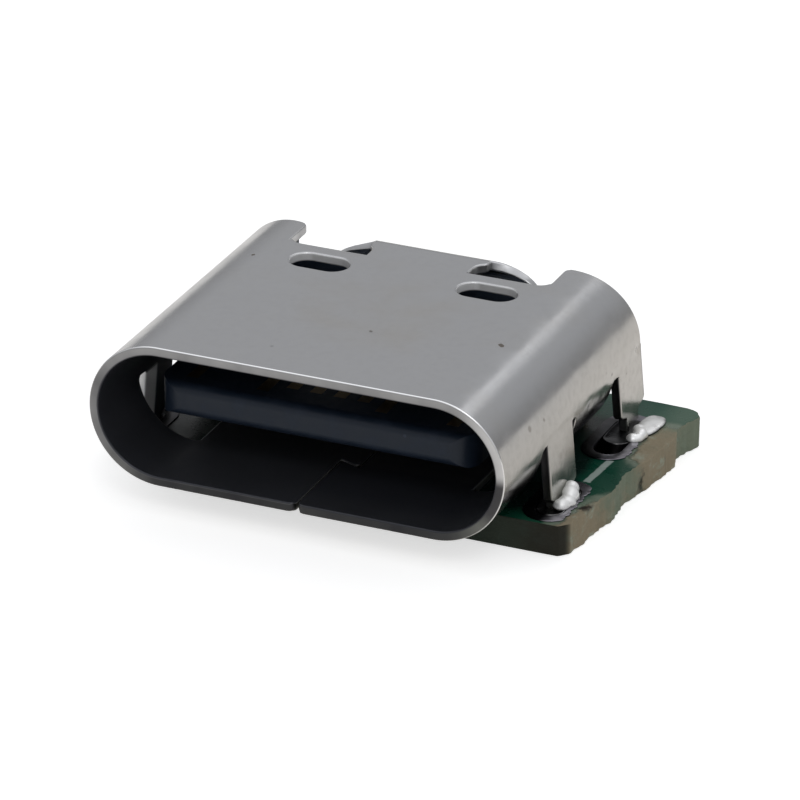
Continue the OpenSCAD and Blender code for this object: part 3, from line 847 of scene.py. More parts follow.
@dataclass
class Surface:
    """A closed mesh in millimetres: points, exact normals, polygons and point values."""

    points: Array
    normals: Array
    loops: Array
    counts: Array
    values: dict[str, Array] = field(default_factory=dict)

    def joined(self, other: "Surface") -> "Surface":
        """Joins this surface and another into one mesh.

        Args:
            other: The other surface, with the same point values.

        Returns:
            The joined surface.
        """
        return Surface(
            np.vstack([self.points, other.points]),
            np.vstack([self.normals, other.normals]),
            np.concatenate([self.loops, other.loops + len(self.points)]),
            np.concatenate([self.counts, other.counts]),
            {k: np.concatenate([v, other.values[k]]) for k, v in self.values.items()},
        )

    def mirrored(self) -> "Surface":
        """Mirrors the surface from right to left, its faces turned to stay outward.

        Returns:
            The mirrored surface.
        """
        flip = np.array([-1.0, 1.0, 1.0])
        ends = np.cumsum(self.counts)
        starts = ends - self.counts
        order = np.repeat(starts + ends - 1, self.counts) - np.arange(len(self.loops))
        loops = self.loops[order]
        return Surface(self.points * flip, self.normals * flip, loops, self.counts, self.values)

    def make(self, name: str, material: bpy.types.Material, finish: Finish) -> bpy.types.Object:
        """Puts the surface into the scene as a piece on the root body.

        Args:
            name: The piece's name.
            material: What it is dressed in.
            finish: The piece's finish; not used.

        Returns:
            The piece.
        """
        mesh = bpy.data.meshes.new(name)
        starts = np.cumsum(self.counts) - self.counts
        mesh.vertices.add(len(self.points))
        mesh.vertices.foreach_set("co", (self.points * MM).astype(np.float32).ravel())
        mesh.loops.add(len(self.loops))
        mesh.loops.foreach_set("vertex_index", self.loops.astype(np.int32))
        mesh.polygons.add(len(self.counts))
        mesh.polygons.foreach_set("loop_start", starts.astype(np.int32))
        mesh.update(calc_edges=True)
        for key, value in self.values.items():
            kind, slot = ("FLOAT", "value") if value.ndim == 1 else ("FLOAT_VECTOR", "vector")
            layer = mesh.attributes.new(key, kind, "POINT")
            layer.data.foreach_set(slot, value.astype(np.float32).ravel())
        mesh.polygons.foreach_set("use_smooth", np.ones(len(self.counts), bool))
        mesh.normals_split_custom_set_from_vertices(self.normals.tolist())
        mesh.materials.append(material)
        piece = bpy.data.objects.new(name, mesh)
        bpy.context.scene.collection.objects.link(piece)
        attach(piece, "root")
        LOG.info("%s: %d faces", name, len(self.counts))
        return piece


def unit(vectors: Array) -> Array:
    """Returns the vectors, one to a row, each divided by its length."""
    return vectors / np.maximum(np.linalg.norm(vectors, axis=-1, keepdims=True), 1e-12)


def rounded_min(first: Array, second: Array, radius: float) -> Array:
    """Distance inside the overlap of two regions, its corner rounded.

    Where both distances a and b are under r it is r - hypot(r - a, r - b), and
    elsewhere the smaller one.

    Args:
        first: Distance inside the first region.
        second: Distance inside the second region.
        radius: The corner's radius.

    Returns:
        The distance inside both.
    """
    a, b = radius - first, radius - second
    outside = np.hypot(np.maximum(a, 0), np.maximum(b, 0))
    return radius - outside - np.minimum(np.maximum(a, b), 0)


def oblong(u: Array, v: Array, half_run: float, radius: float) -> Array:
    """Distance inside an oblong along u: radius - hypot(max(|u| - run, 0), v)."""
    return radius - np.hypot(np.maximum(np.abs(u) - half_run, 0), v)


def inside_polygon(u: Array, v: Array, corners: Array) -> Array:
    """Signed distance inside a polygon: the nearest edge's, positive inside.

    Args:
        u: First coordinates.
        v: Second coordinates.
        corners: The corners in order, one to a row.

    Returns:
        The distance, negative outside.
    """
    nearest = np.full(u.shape, np.inf)
    crossings = np.zeros(u.shape, int)
    for (ax, ay), (bx, by) in zip(corners, np.roll(corners, -1, axis=0)):
        ex, ey = bx - ax, by - ay
        t = np.clip(((u - ax) * ex + (v - ay) * ey) / (ex * ex + ey * ey), 0, 1)
        nearest = np.minimum(nearest, np.hypot(u - ax - t * ex, v - ay - t * ey))
        spans = (ay > v) != (by > v)
        reach = ax + (v - ay) * ex / np.where(ey == 0, 1e-12, ey)
        crossings += spans & (u < reach)
    return np.where(crossings % 2 == 1, nearest, -nearest)


def ruled_lines(stops: Sequence[Span]) -> Array:
    """Grid lines that change their spacing from stretch to stretch.

    Args:
        stops: Pairs of a position and the spacing from there to the next.

    Returns:
        The lines' positions.
    """
    runs = []
    for (start, gap), (end, _) in zip(stops, stops[1:]):
        count = max(1, round((end - start) / gap))
        runs.append(start + (end - start) * np.arange(count) / count)
    return np.concatenate(runs + [np.array([stops[-1][0]])])


@dataclass
class Sheet:
    """A sheet cut from a blank, its rims rounded, and folded into place.

    The blank is a region of a plane, given by the signed distance from its
    edge. Its faces are the grid cells inside, cut where the distance equals the
    rim's radius; rings of a quarter round, a straight and a quarter round join
    the two faces; and a fold takes each (u, v, w), w being the height in the
    thickness, to its place.
    """

    lines_u: Array
    lines_v: Array
    distance: Callable[[Array, Array], Array]
    fold: Callable[[Array, Array, Array], Array]
    thickness: float
    rim: float = 0.04
    steps: int = 4
    reach: float = 0.004

    def _contour(self) -> tuple[Array, Array, Array, Array, Array, Array]:
        """Cuts the grid's cells along the inset edge.

        A cell keeps its inside corners and the crossings on its sides, in
        order round the cell, so that its polygon is the part inside.

        Returns:
            Plane points, which of them are crossings, polygon loops, polygon
            counts, and the contour's segments as two arrays of point numbers.
        """
        nu, nv = len(self.lines_u), len(self.lines_v)
        u, v = np.meshgrid(self.lines_u, self.lines_v, indexing="ij")
        level = self.distance(u, v) - self.rim
        level = np.where(np.abs(level) < 1e-7, 1e-7, level)
        flag = level > 0
        ids = np.arange(nu * nv).reshape(nu, nv)
        spots = [np.column_stack([u.ravel(), v.ravel()])]
        total = nu * nv
        edge_ids = []
        whole, early, late = slice(None), slice(None, -1), slice(1, None)
        for low, high in (((early, whole), (late, whole)), ((whole, early), (whole, late))):
            a, b = level[low], level[high]
            share = np.where(a != b, a / np.where(a != b, a - b, 1), 0.5)
            share = np.clip(share, 0.0, 1.0)
            pu = u[low] + share * (u[high] - u[low])
            pv = v[low] + share * (v[high] - v[low])
            spots.append(np.column_stack([pu.ravel(), pv.ravel()]))
            edge_ids.append(total + np.arange(a.size).reshape(a.shape))
            total += a.size
        across, along = edge_ids
        slots = np.stack(
            [
                ids[:-1, :-1], across[:, :-1], ids[1:, :-1], along[1:, :],
                ids[1:, 1:], across[:, 1:], ids[:-1, 1:], along[:-1, :],
            ],
            axis=-1,
        ).reshape(-1, 8)
        corner = np.stack(
            [flag[:-1, :-1], flag[1:, :-1], flag[1:, 1:], flag[:-1, 1:]], axis=-1
        ).reshape(-1, 4)
        cross = corner != np.roll(corner, -1, axis=1)
        used = np.stack([corner, cross], axis=-1).reshape(-1, 8)
        live = used.any(axis=1)
        slots, corner, cross, used = slots[live], corner[live], cross[live], used[live]
        starts, ends = [], []
        for k in range(4):
            leaves = corner[:, k] & cross[:, k]
            target = np.full(len(slots), -1)
            for hop in (3, 2, 1):
                m = (k + hop) % 4
                target = np.where(cross[:, m], slots[:, 2 * m + 1], target)
            starts.append(slots[leaves, 2 * k + 1])
            ends.append(target[leaves])
        loops, counts = slots[used], used.sum(axis=1)
        names, packed = np.unique(loops, return_inverse=True)
        plane = np.vstack(spots)[names]
        lookup = np.full(total, -1)
        lookup[names] = np.arange(len(names))
        first, second = lookup[np.concatenate(starts)], lookup[np.concatenate(ends)]
        return plane, names >= nu * nv, packed.ravel(), counts, first, second

    def _downhill(self, plane: Array) -> Array:
        """Finds the way straight out of the blank: against the distance's slope.

        Args:
            plane: Places in the blank.

        Returns:
            The unit directions.
        """
        h = self.reach
        u, v = plane[:, 0], plane[:, 1]
        slope = np.column_stack(
            [
                self.distance(u + h, v) - self.distance(u - h, v),
                self.distance(u, v + h) - self.distance(u, v - h),
            ]
        )
        return -unit(slope)

    def _place(self, plane: Array, height: Array, out: Array, tilt: Array) -> tuple[Array, Array]:
        """Folds points of the blank and finds their normals.

        The normal is cos(tilt) times the sheet's own normal, the cross product
        of the fold's slopes, plus sin(tilt) times the outward direction.

        Args:
            plane: Places in the blank.
            height: Their heights in the thickness.
            out: The outward direction in the blank.
            tilt: The rim's angle, 0 on the upper face and pi on the lower.

        Returns:
            The points and the normals.
        """
        h = self.reach
        u, v = plane[:, 0], plane[:, 1]
        slope_u = self.fold(u + h, v, height) - self.fold(u - h, v, height)
        slope_v = self.fold(u, v + h, height) - self.fold(u, v - h, height)
        normal = unit(np.cross(slope_u, slope_v))
        side = self.fold(u + h * out[:, 0], v + h * out[:, 1], height)
        side = unit(side - self.fold(u - h * out[:, 0], v - h * out[:, 1], height))
        turned = np.cos(tilt)[:, None] * normal + np.sin(tilt)[:, None] * side
        return self.fold(u, v, height), unit(turned)

    def surface(self) -> Surface:
        """Builds the closed sheet.

        Returns:
            The surface. Each point has its place and its distance from the
            edge as "blank", the sine of the rim's angle as "rim", and its
            height from -1 to 1 as "level".
        """
        plane, crossing, loops, counts, first, second = self._contour()
        number = len(plane)
        edge = np.flatnonzero(crossing)
        out = self._downhill(plane)
        quarter = np.linspace(0, math.pi / 2, self.steps + 1)
        half = self.thickness / 2
        tilt = np.concatenate([quarter[1:], math.pi - quarter[::-1][:-1]])
        push = self.rim * np.sin(tilt)
        lift = (half - self.rim) * np.sign(np.cos(tilt) + 1e-9) + self.rim * np.cos(tilt)
        lift[self.steps - 1], lift[self.steps] = half - self.rim, self.rim - half
        layers = [(plane, half, 0.0), (plane, -half, math.pi)]
        layers += [(plane[edge] + p * out[edge], z, t) for p, z, t in zip(push, lift, tilt)]
        spots = np.vstack([layer[0] for layer in layers])
        sizes = [len(layer[0]) for layer in layers]
        height, tilt = (np.repeat([layer[k] for layer in layers], sizes) for k in (1, 2))
        sides = np.vstack([out, out] + [out[edge]] * len(push))
        points, normals = self._place(spots, height, sides, tilt)
        gap = self.distance(spots[:, 0], spots[:, 1])
        place = np.full(number, -1)
        place[edge] = np.arange(len(edge))
        shifts = 2 * number + len(edge) * np.arange(len(push))[:, None]
        rings, others = (
            np.vstack([ends[None, :], shifts + place[ends], ends[None, :] + number])
            for ends in (first, second)
        )
        quads = np.stack([others[:-1], rings[:-1], rings[1:], others[1:]], axis=-1).reshape(-1, 4)
        order = np.repeat(2 * np.cumsum(counts) - counts - 1, counts) - np.arange(len(loops))
        return Surface(
            points,
            normals,
            np.concatenate([loops, loops[order] + number, quads.ravel()]),
            np.concatenate([counts, counts, np.full(len(quads), 4)]),
            {"blank": np.column_stack([spots, gap]), "rim": np.sin(tilt), "level": height / half},
        )


def wrapped_grid(points: Array) -> Surface:
    """Closes a grid of rings into one skin with a point at each end.

    Args:
        points: Rings of points from the first pole to the last, each ring
            running anticlockwise seen from the first pole; (rings, round, 3).

    Returns:
        The surface, with normals from the slopes along and round the grid.
    """
    rings, around, _ = points.shape
    slope_around = np.roll(points, -1, axis=1) - np.roll(points, 1, axis=1)
    slope_along = np.gradient(points, axis=0)
    normals = unit(np.cross(slope_along, slope_around))
    poles = np.array([points[0].mean(axis=0), points[-1].mean(axis=0)])
    pole_normals = unit(np.array([normals[0].mean(axis=0), normals[-1].mean(axis=0)]))
    ids = np.arange(rings * around).reshape(rings, around)
    following = np.roll(ids, -1, axis=1)
    quads = np.stack([ids[:-1], ids[1:], following[1:], following[:-1]], axis=-1).reshape(-1, 4)
    top = np.column_stack([np.full(around, rings * around), ids[0], following[0]])
    low = np.column_stack([np.full(around, rings * around + 1), following[-1], ids[-1]])
    return Surface(
        np.vstack([points.reshape(-1, 3), poles]),
        np.vstack([normals.reshape(-1, 3), pole_normals]),
        np.concatenate([quads.ravel(), top.ravel(), low.ravel()]),
        np.concatenate([np.full(len(quads), 4), np.full(2 * around, 3)]),
    )


def dome(at: Span, half: Span, power: float, around: int, share: Array, height: Array) -> Array:
    """Rings over a superellipse, from its middle out.

    A ring's point is the centre plus its share of the half width times the
    signed power of the angle's cosine, and so in y with the sine.

    Args:
        at: The centre.
        half: The half widths.
        power: The cosine's and the sine's exponent.
        around: How many points a ring has.
        share: Each ring's share of the half widths.
        height: Each ring's z.

    Returns:
        The points; (rings, round, 3).
    """
    angle = np.linspace(0, 2 * math.pi, around, endpoint=False)
    waves = (np.cos(angle), np.sin(angle))
    x, y = (
        a + (h * np.sign(wave) * np.abs(wave) ** power)[None, :] * share[:, None]
        for a, h, wave in zip(at, half, waves)
    )
    return np.stack([x, y, height[:, None] * np.ones_like(x)], axis=-1)


def ripple(points: Array, pitch: float, seed: float) -> Array:
    """Slow unevenness: a sum of three sines in skewed directions, from -1 to 1.

    Args:
        points: Places, one to a row, in millimetres.
        pitch: The typical distance from crest to crest.
        seed: Shifts the pattern.

    Returns:
        The value at each place.
    """
    k = 2 * math.pi / pitch
    x, y, z = points[..., 0], points[..., 1], points[..., 2]
    a = np.sin(k * (0.9 * x + 0.3 * y + 0.2 * z) + seed)
    b = np.sin(k * (-0.4 * x + 1.1 * y + 0.5 * z) + 2.3 * seed)
    c = np.sin(k * (0.5 * x - 0.6 * y + 1.3 * z) + 4.1 * seed)
    return (a + b + c) / 3


# ---------- the part ----------


@dataclass
class Shell:
    """Folded steel tube with roof windows, rear ears and flap, legs and a floor seam."""

    outer_x: float = 4.37
    outer_z: float = 1.48
    end_x: float = 2.89
    sheet_t: float = 0.2
    length: float = 7.0
    shift: float = 0.08
    window_x: float = 1.8
    window_l: float = 1.25
    window_w: float = 0.7
    window_back: float = 2.0
    notch_d: float = 1.3
    notch_r: float = 0.28
    ear_x: float = 2.8
    ear_r: float = 0.14
    ear_slant: float = 0.34
    neck_w: float = 2.2
    bend_r: float = 0.36
    flap_back: float = 0.3
    flap_w: float = 4.8
    flap_h: float = 2.0
    shoulder_slope: float = 0.5
    crown_r: float = 0.7
    crown_shift: float = 0.14
    crown_fade: Span = (2.3, 0.6)
    low_r: float = 0.45
    neck_fillet: float = 0.3
    eye: tuple[float, float, float] = (0.46, 1.1, 1.28)
    leg_y: Span = (2.15, 5.78)
    leg_w: Span = (1.25, 1.22)
    foot_h: Span = (0.1, 0.28)
    tip_in: Span = (0.1, 0.26)
    tip_w: Span = (0.8, 0.6)
    tip_taper: Span = (0.22, 0.12)
    slit_z: Span = (0.17, 0.26)
    slit_w: float = 0.2
    left_slits: Span = (0.34, 0.44)
    lean: float = 5.0
    lean_run: float = 0.2
    tip_z: float = -2.07
    pad_z: float = -1.45
    floor_end_y: float = 5.35
    floor_open_x: float = 3.24
    seam_gap: float = 0.03
    seam_tab: tuple[float, float, float, float] = (2.2, 1.1, 0.45, 0.18)
    lower_run: float = 2.4
    rim: float = 0.042
    knocks: tuple[tuple[float, float, float, float], ...] = (
        (5.14, 6.80, -0.030, 0.07), (5.35, 5.05, -0.010, 0.10), (4.72, 3.95, -0.008, 0.16),
        (5.30, 4.35, -0.010, 0.09), (4.30, 6.10, -0.006, 0.20), (5.00, 1.20, -0.006, 0.18),
        (0.56, 2.38, -0.012, 0.05), (-0.90, 0.98, -0.010, 0.05), (-2.60, 3.10, -0.008, 0.25),
    )

    def __post_init__(self) -> None:
        """Works out the section's lengths and the flap's bend."""
        self.mid = self.outer_z - self.sheet_t / 2
        self.side_q = self.end_x + self.mid * math.pi / 2
        self.floor_q = self.side_q + self.lower_run
        self.seam_q = self.floor_q + self.end_x
        self.bend_y = self.length - self.flap_back - self.bend_r
        self.bend_mid = self.bend_r - self.sheet_t / 2
        self.drop_v = self.bend_y + self.bend_mid * math.pi / 2

    def plan_x(self, q: Array) -> Array:
        """Finds how far out the upper half's outer face is, seen from above.

        Args:
            q: Places round the section, from the roof's middle.

        Returns:
            The distances from the middle, with q's sign.
        """
        turn = np.clip((np.abs(q) - self.end_x) / self.mid, 0, math.pi / 2)
        flat = np.minimum(np.abs(q), self.end_x)
        return np.sign(q) * (flat + self.outer_z * np.sin(turn))

    def _roof(self, q: Array, v: Array) -> Array:
        """Distance inside the upper half: slanted ears, notches, neck, flap and windows.

        Args:
            q: Places round the section, from the roof's middle.
            v: Places along the shell, and down the flap past its bend.

        Returns:
            The distance.
        """
        x = self.plan_x(q) - self.shift
        ax = np.abs(x)
        slope = self.ear_slant / (self.outer_x + self.shift - self.ear_x)
        rear = self.length - self.ear_slant + slope * (ax - self.ear_x)
        end = (np.minimum(rear, self.length) - v) / math.hypot(1, slope)
        notch_y = self.length - self.notch_d
        ear = rounded_min(end, ax - self.ear_x, self.ear_r)
        void = rounded_min(self.ear_x - ax, v - notch_y, self.notch_r)
        beside = np.where(v > notch_y, ear, np.minimum(-void, end))
        tube = np.where(ax > self.ear_x, beside, -void)
        neck = np.minimum(self.neck_w / 2 - ax, self.bend_y + 0.2 - v)
        neck = np.where(v < notch_y, np.maximum(neck, -void), neck)
        joined = -rounded_min(-neck, -self._flap(x, v), self.neck_fillet)
        body = np.maximum(tube, np.where(v > notch_y + 0.1, joined, neck))
        half_run, at_v = (self.window_l - self.window_w) / 2, self.length - self.window_back
        windows = oblong(ax - self.window_x, v - at_v, half_run, self.window_w / 2)
        return np.minimum(body, -windows)

    def _flap(self, x: Array, v: Array) -> Array:
        """Distance inside the flap: half its width at each height, less |x|.

        The half width follows a round crown, a straight shoulder, a round
        corner and an upright side.

        Args:
            x: Places across the flap, from its middle.
            v: Places along the sheet.

        Returns:
            The distance.
        """
        top_r, top_x = self.crown_r, self.neck_w / 2
        limit, fade = self.crown_fade
        ax = np.abs(x - self.crown_shift * np.clip((limit - np.abs(x)) / fade, 0, 1))
        run = math.atan(self.shoulder_slope)
        turn = np.clip((v - self.bend_y) / self.bend_mid, 0, math.pi / 2)
        z = self.outer_z - self.bend_r + self.bend_r * np.cos(turn) - np.maximum(v - self.drop_v, 0)
        start = (top_x + top_r * math.sin(run), self.outer_z - top_r * (1 - math.cos(run)))
        slant = (start[0] - ax) * math.sin(run) + (start[1] - z) * math.cos(run)
        crown = top_r - np.hypot(ax - top_x, np.maximum(z - self.outer_z + top_r, 0))
        crown = np.where(ax < top_x, self.outer_z - z + 0.02, crown)
        shoulder = np.where(ax < start[0], crown, slant)
        wide = rounded_min(shoulder, self.flap_w / 2 - ax, self.low_r)
        above = z - self.outer_z + self.flap_h
        return np.minimum(rounded_min(wide, above, self.low_r), v - self.bend_y + 0.1)

    def _leg(self, q: Array, v: Array, kind: int) -> Array:
        """Distance inside a leg's outline, below the wall's widest line.

        Args:
            q: Places round the section.
            v: Places along the shell.
            kind: 0 for the front legs, 1 for the rear ones.

        Returns:
            The distance.
        """
        start, width = self.leg_y[kind], self.leg_w[kind]
        near, far = self.tip_in[kind], self.tip_in[kind] + self.tip_w[kind]
        foot = -self.pad_z - self.foot_h[kind]
        tip = -self.tip_z
        long, wide = self.tip_taper
        corners = np.array(
            [
                [-1.0, 0], [foot, 0], [foot + near / 3, near], [tip - long, near],
                [tip, near + wide], [tip, far - wide], [tip - long, far],
                [foot + (width - far) / 3, far], [foot, width], [-1.0, width],
            ]
        )
        return inside_polygon(np.abs(q) - self.side_q, v - start, corners)

    def _lower(self, q: Array, v: Array) -> Array:
        """Distance inside the lower half: less the holes round the legs and the rear opening.

        Args:
            q: Places round the section.
            v: Places along the shell.

        Returns:
            The distance.
        """
        down = np.abs(q) - self.side_q
        wall = self.length - v
        for kind in (0, 1):
            start, width = self.leg_y[kind], self.leg_w[kind]
            gap = self.slit_w
            wide = (q < 0) & (kind == 0)
            before, after = (np.where(wide, w, gap) for w in self.left_slits)
            beside = np.minimum(v - start + before, start + width + after - v)
            top = self.slit_z[kind]
            hole = rounded_min(beside, down - top, gap / 2)
            hole = np.minimum(hole, self.floor_q - np.abs(q))
            wall = np.minimum(wall, -hole)
        turn = math.asin((self.floor_open_x - self.end_x) / self.mid)
        open_q = self.floor_q - turn / (math.pi / 2) * self.lower_run
        rear = np.minimum(np.abs(q) - open_q, v - self.floor_end_y)
        return np.minimum(wall, -rear)

    def _seam(self, q: Array, v: Array) -> Array:
        """Distance short of the seam, with the tab on the left and its recess on the right.

        Args:
            q: Places round the section.
            v: Places along the shell.

        Returns:
            The distance.
        """
        start, width, depth, flare = self.seam_tab
        past = np.abs(q) - self.seam_q
        left = q < 0
        grow = np.where(left, 0.0, self.seam_gap)
        slope = flare / depth
        reach = np.where(left, past, -past)
        low = v - (start - slope * reach) + grow
        high = (start + width + slope * reach) - v + grow
        side = np.minimum(low, high) / math.hypot(1, slope)
        tab = np.minimum(side, depth + grow - reach)
        edge = np.where(left, -past, -past - self.seam_gap)
        joined = np.maximum(edge, np.where(past > -0.3, np.minimum(tab, past + 0.3), -1.0))
        return np.where(left, joined, np.minimum(edge, -np.minimum(tab, reach + 0.3)))

    def distance(self, q: Array, v: Array) -> Array:
        """Distance inside the shell's blank.

        Args:
            q: Places round the section, from the roof's middle.
            v: Places along the shell.

        Returns:
            The distance, positive inside.
        """
        down = np.abs(q) - self.side_q
        low = np.maximum(self._lower(q, v), np.maximum(self._leg(q, v, 0), self._leg(q, v, 1)))
        low = np.minimum(low, self._seam(q, v))
        whole = np.where(down > 0, low, self._roof(q, v))
        ends = np.where(np.abs(q) < self.end_x, np.inf, self.length - v)
        return np.minimum(np.minimum(whole, ends), v)

    def dents(self, q: Array, v: Array) -> Array:
        """Height of the knocks in the sheet: bell-shaped hollows and a slow unevenness.

        Args:
            q: Places round the section.
            v: Places along the shell.

        Returns:
            The height, downwards where negative.
        """
        height = 0.0012 * np.sin(1.7 * q + 0.6 * v) * np.sin(1.1 * v + 0.4 * q) - 0.0012
        for at_q, at_v, depth, size in self.knocks:
            height = height + depth * np.exp(-((q - at_q) ** 2 + (v - at_v) ** 2) / (2 * size**2))
        return height

    def fold(self, q: Array, v: Array, w: Array) -> Array:
        """Takes the blank to the folded shell.

        Round the section: flat roof, quarter circle, quarter circle, flat
        floor, offset by w from the middle of the sheet. The legs leave the wall
        straight down with a small lean, and the flap turns down through a
        quarter circle at the rear.

        Args:
            q: Places round the section.
            v: Places along the shell.
            w: Heights in the thickness.

        Returns:
            The points.
        """
        a = np.abs(q)
        w = w + self.dents(q, v)
        upper = np.clip((a - self.end_x) / self.mid, 0, math.pi / 2)
        turn = upper + np.clip((a - self.side_q) / self.lower_run, 0, 1) * math.pi / 2
        flat = np.minimum(a, self.end_x) - np.maximum(a - self.floor_q, 0)
        x = flat + (self.mid + w) * np.sin(turn)
        z = (self.mid + w) * np.cos(turn)
        down = np.maximum(a - self.side_q, 0)
        lean, run = math.radians(self.lean), self.lean_run
        tilt = lean * np.clip(down / run, 0, 1)
        swing = math.sin(lean) * np.where(down < run, down**2 / (2 * run), down - run / 2)
        leg_x = self.end_x + self.mid + swing + w * np.cos(tilt)
        leg_z = -down * np.cos(tilt) + w * np.sin(tilt)
        share = np.zeros_like(a)
        for start, width in zip(self.leg_y, self.leg_w):
            before = np.clip((v - start + self.slit_w) / self.slit_w, 0, 1)
            after = np.clip((start + width + self.slit_w - v) / self.slit_w, 0, 1)
            share = np.maximum(share, np.minimum(before, after))
        share = np.where((a > self.side_q) & (a < self.floor_q - 0.1), share, 0.0)
        x = x + share * (leg_x - x)
        z = z + share * (leg_z - z)
        bend = np.clip((v - self.bend_y) / self.bend_mid, 0, math.pi / 2)
        flap = (a < self.flap_w / 2 + 0.3) & (v > self.bend_y)
        y = np.where(flap, self.bend_y + (self.bend_mid + w) * np.sin(bend), v)
        centre = self.outer_z - self.bend_r
        drop = centre + (self.bend_mid + w) * np.cos(bend) - np.maximum(v - self.drop_v, 0)
        z = np.where(flap, drop, z)
        x = np.where(flap, a, x)
        return np.column_stack([np.sign(q) * x, y, z])

    def marks(self, blank: Array, level: Array) -> dict[str, Array]:
        """Shares of three effects that the steel reads at each point, from 0 to 1.

        "under" is painted shade below the tube, from where the wall turns in but
        not on the legs. "inside" is painted shade on the inner face, less the flap
        and the lit front of the left front leg. "eye" is painted deep shade on the
        flap's inner face, below an arc each side of the neck.

        Args:
            blank: Places (q, v, inset) in the blank.
            level: Heights in the thickness, from -1 inside to 1 outside.

        Returns:
            The shares by name.
        """
        q, v = blank[:, 0], blank[:, 1]
        around = np.abs(q)
        ragged = 0.10 * np.sin(5.3 * v) + 0.05 * np.sin(13.0 * v + 1.0)
        under = np.clip((around - self.side_q - 0.34 - ragged) / 0.3, 0, 1)
        under = 0.95 * under * np.clip((v - 0.35) / 0.5, 0, 1) * ((q > 0) | (level > 0.95))
        for start, width in zip(self.leg_y, self.leg_w):
            leg = np.minimum(v - start, start + width - v)
            under = under * (1 - np.clip(leg / 0.03 + 1, 0, 1))
        lit = (q < -self.side_q - 0.2) & (q > 0.05 - self.floor_q)
        lit &= (v > self.leg_y[0] - 0.02) & (v < self.leg_y[0] + 0.5)
        on_flap = (around < self.end_x) & (v > self.bend_y - 0.05)
        inside = np.clip((-0.55 - level) / 0.25, 0, 1) * ~(lit | on_flap)
        high, curve, centre = self.eye
        arc = high + curve * (np.abs(q - self.shift) - centre) ** 2
        eye = 0.97 * np.clip((v - self.bend_y - arc) / 0.06, 0, 1)
        eye = eye * (level < -0.5) * (around < self.end_x)
        return {"under": under, "inside": inside, "eye": eye}

    def build(self, material: bpy.types.Material) -> None:
        """Builds the shell in place of its plain node.

        Args:
            material: The shell's steel.
        """
        stops_q = ((0, 0.12), (0.95, 0.06), (3.05, 0.10), (4.9, 0.06), (7.5, 0.13), (9.7, 0.06))
        stops_v = ((-0.1, 0.12), (1.85, 0.06), (3.75, 0.12), (4.4, 0.06))
        right = ruled_lines((*stops_q, (self.seam_q + 0.6, 0.06))) + 0.003
        lines_q = np.concatenate([-right[::-1], right])
        lines_v = ruled_lines((*stops_v, (self.drop_v + 1.8, 0.06))) + 0.0017
        sheet = Sheet(lines_q, lines_v, self.distance, self.fold, self.sheet_t, rim=self.rim)
        made = sheet.surface()
        made.values.update(self.marks(made.values["blank"], made.values["level"]))
        piece = made.make("shell_sheet", material, Finish.STEEL)
        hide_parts("shell")


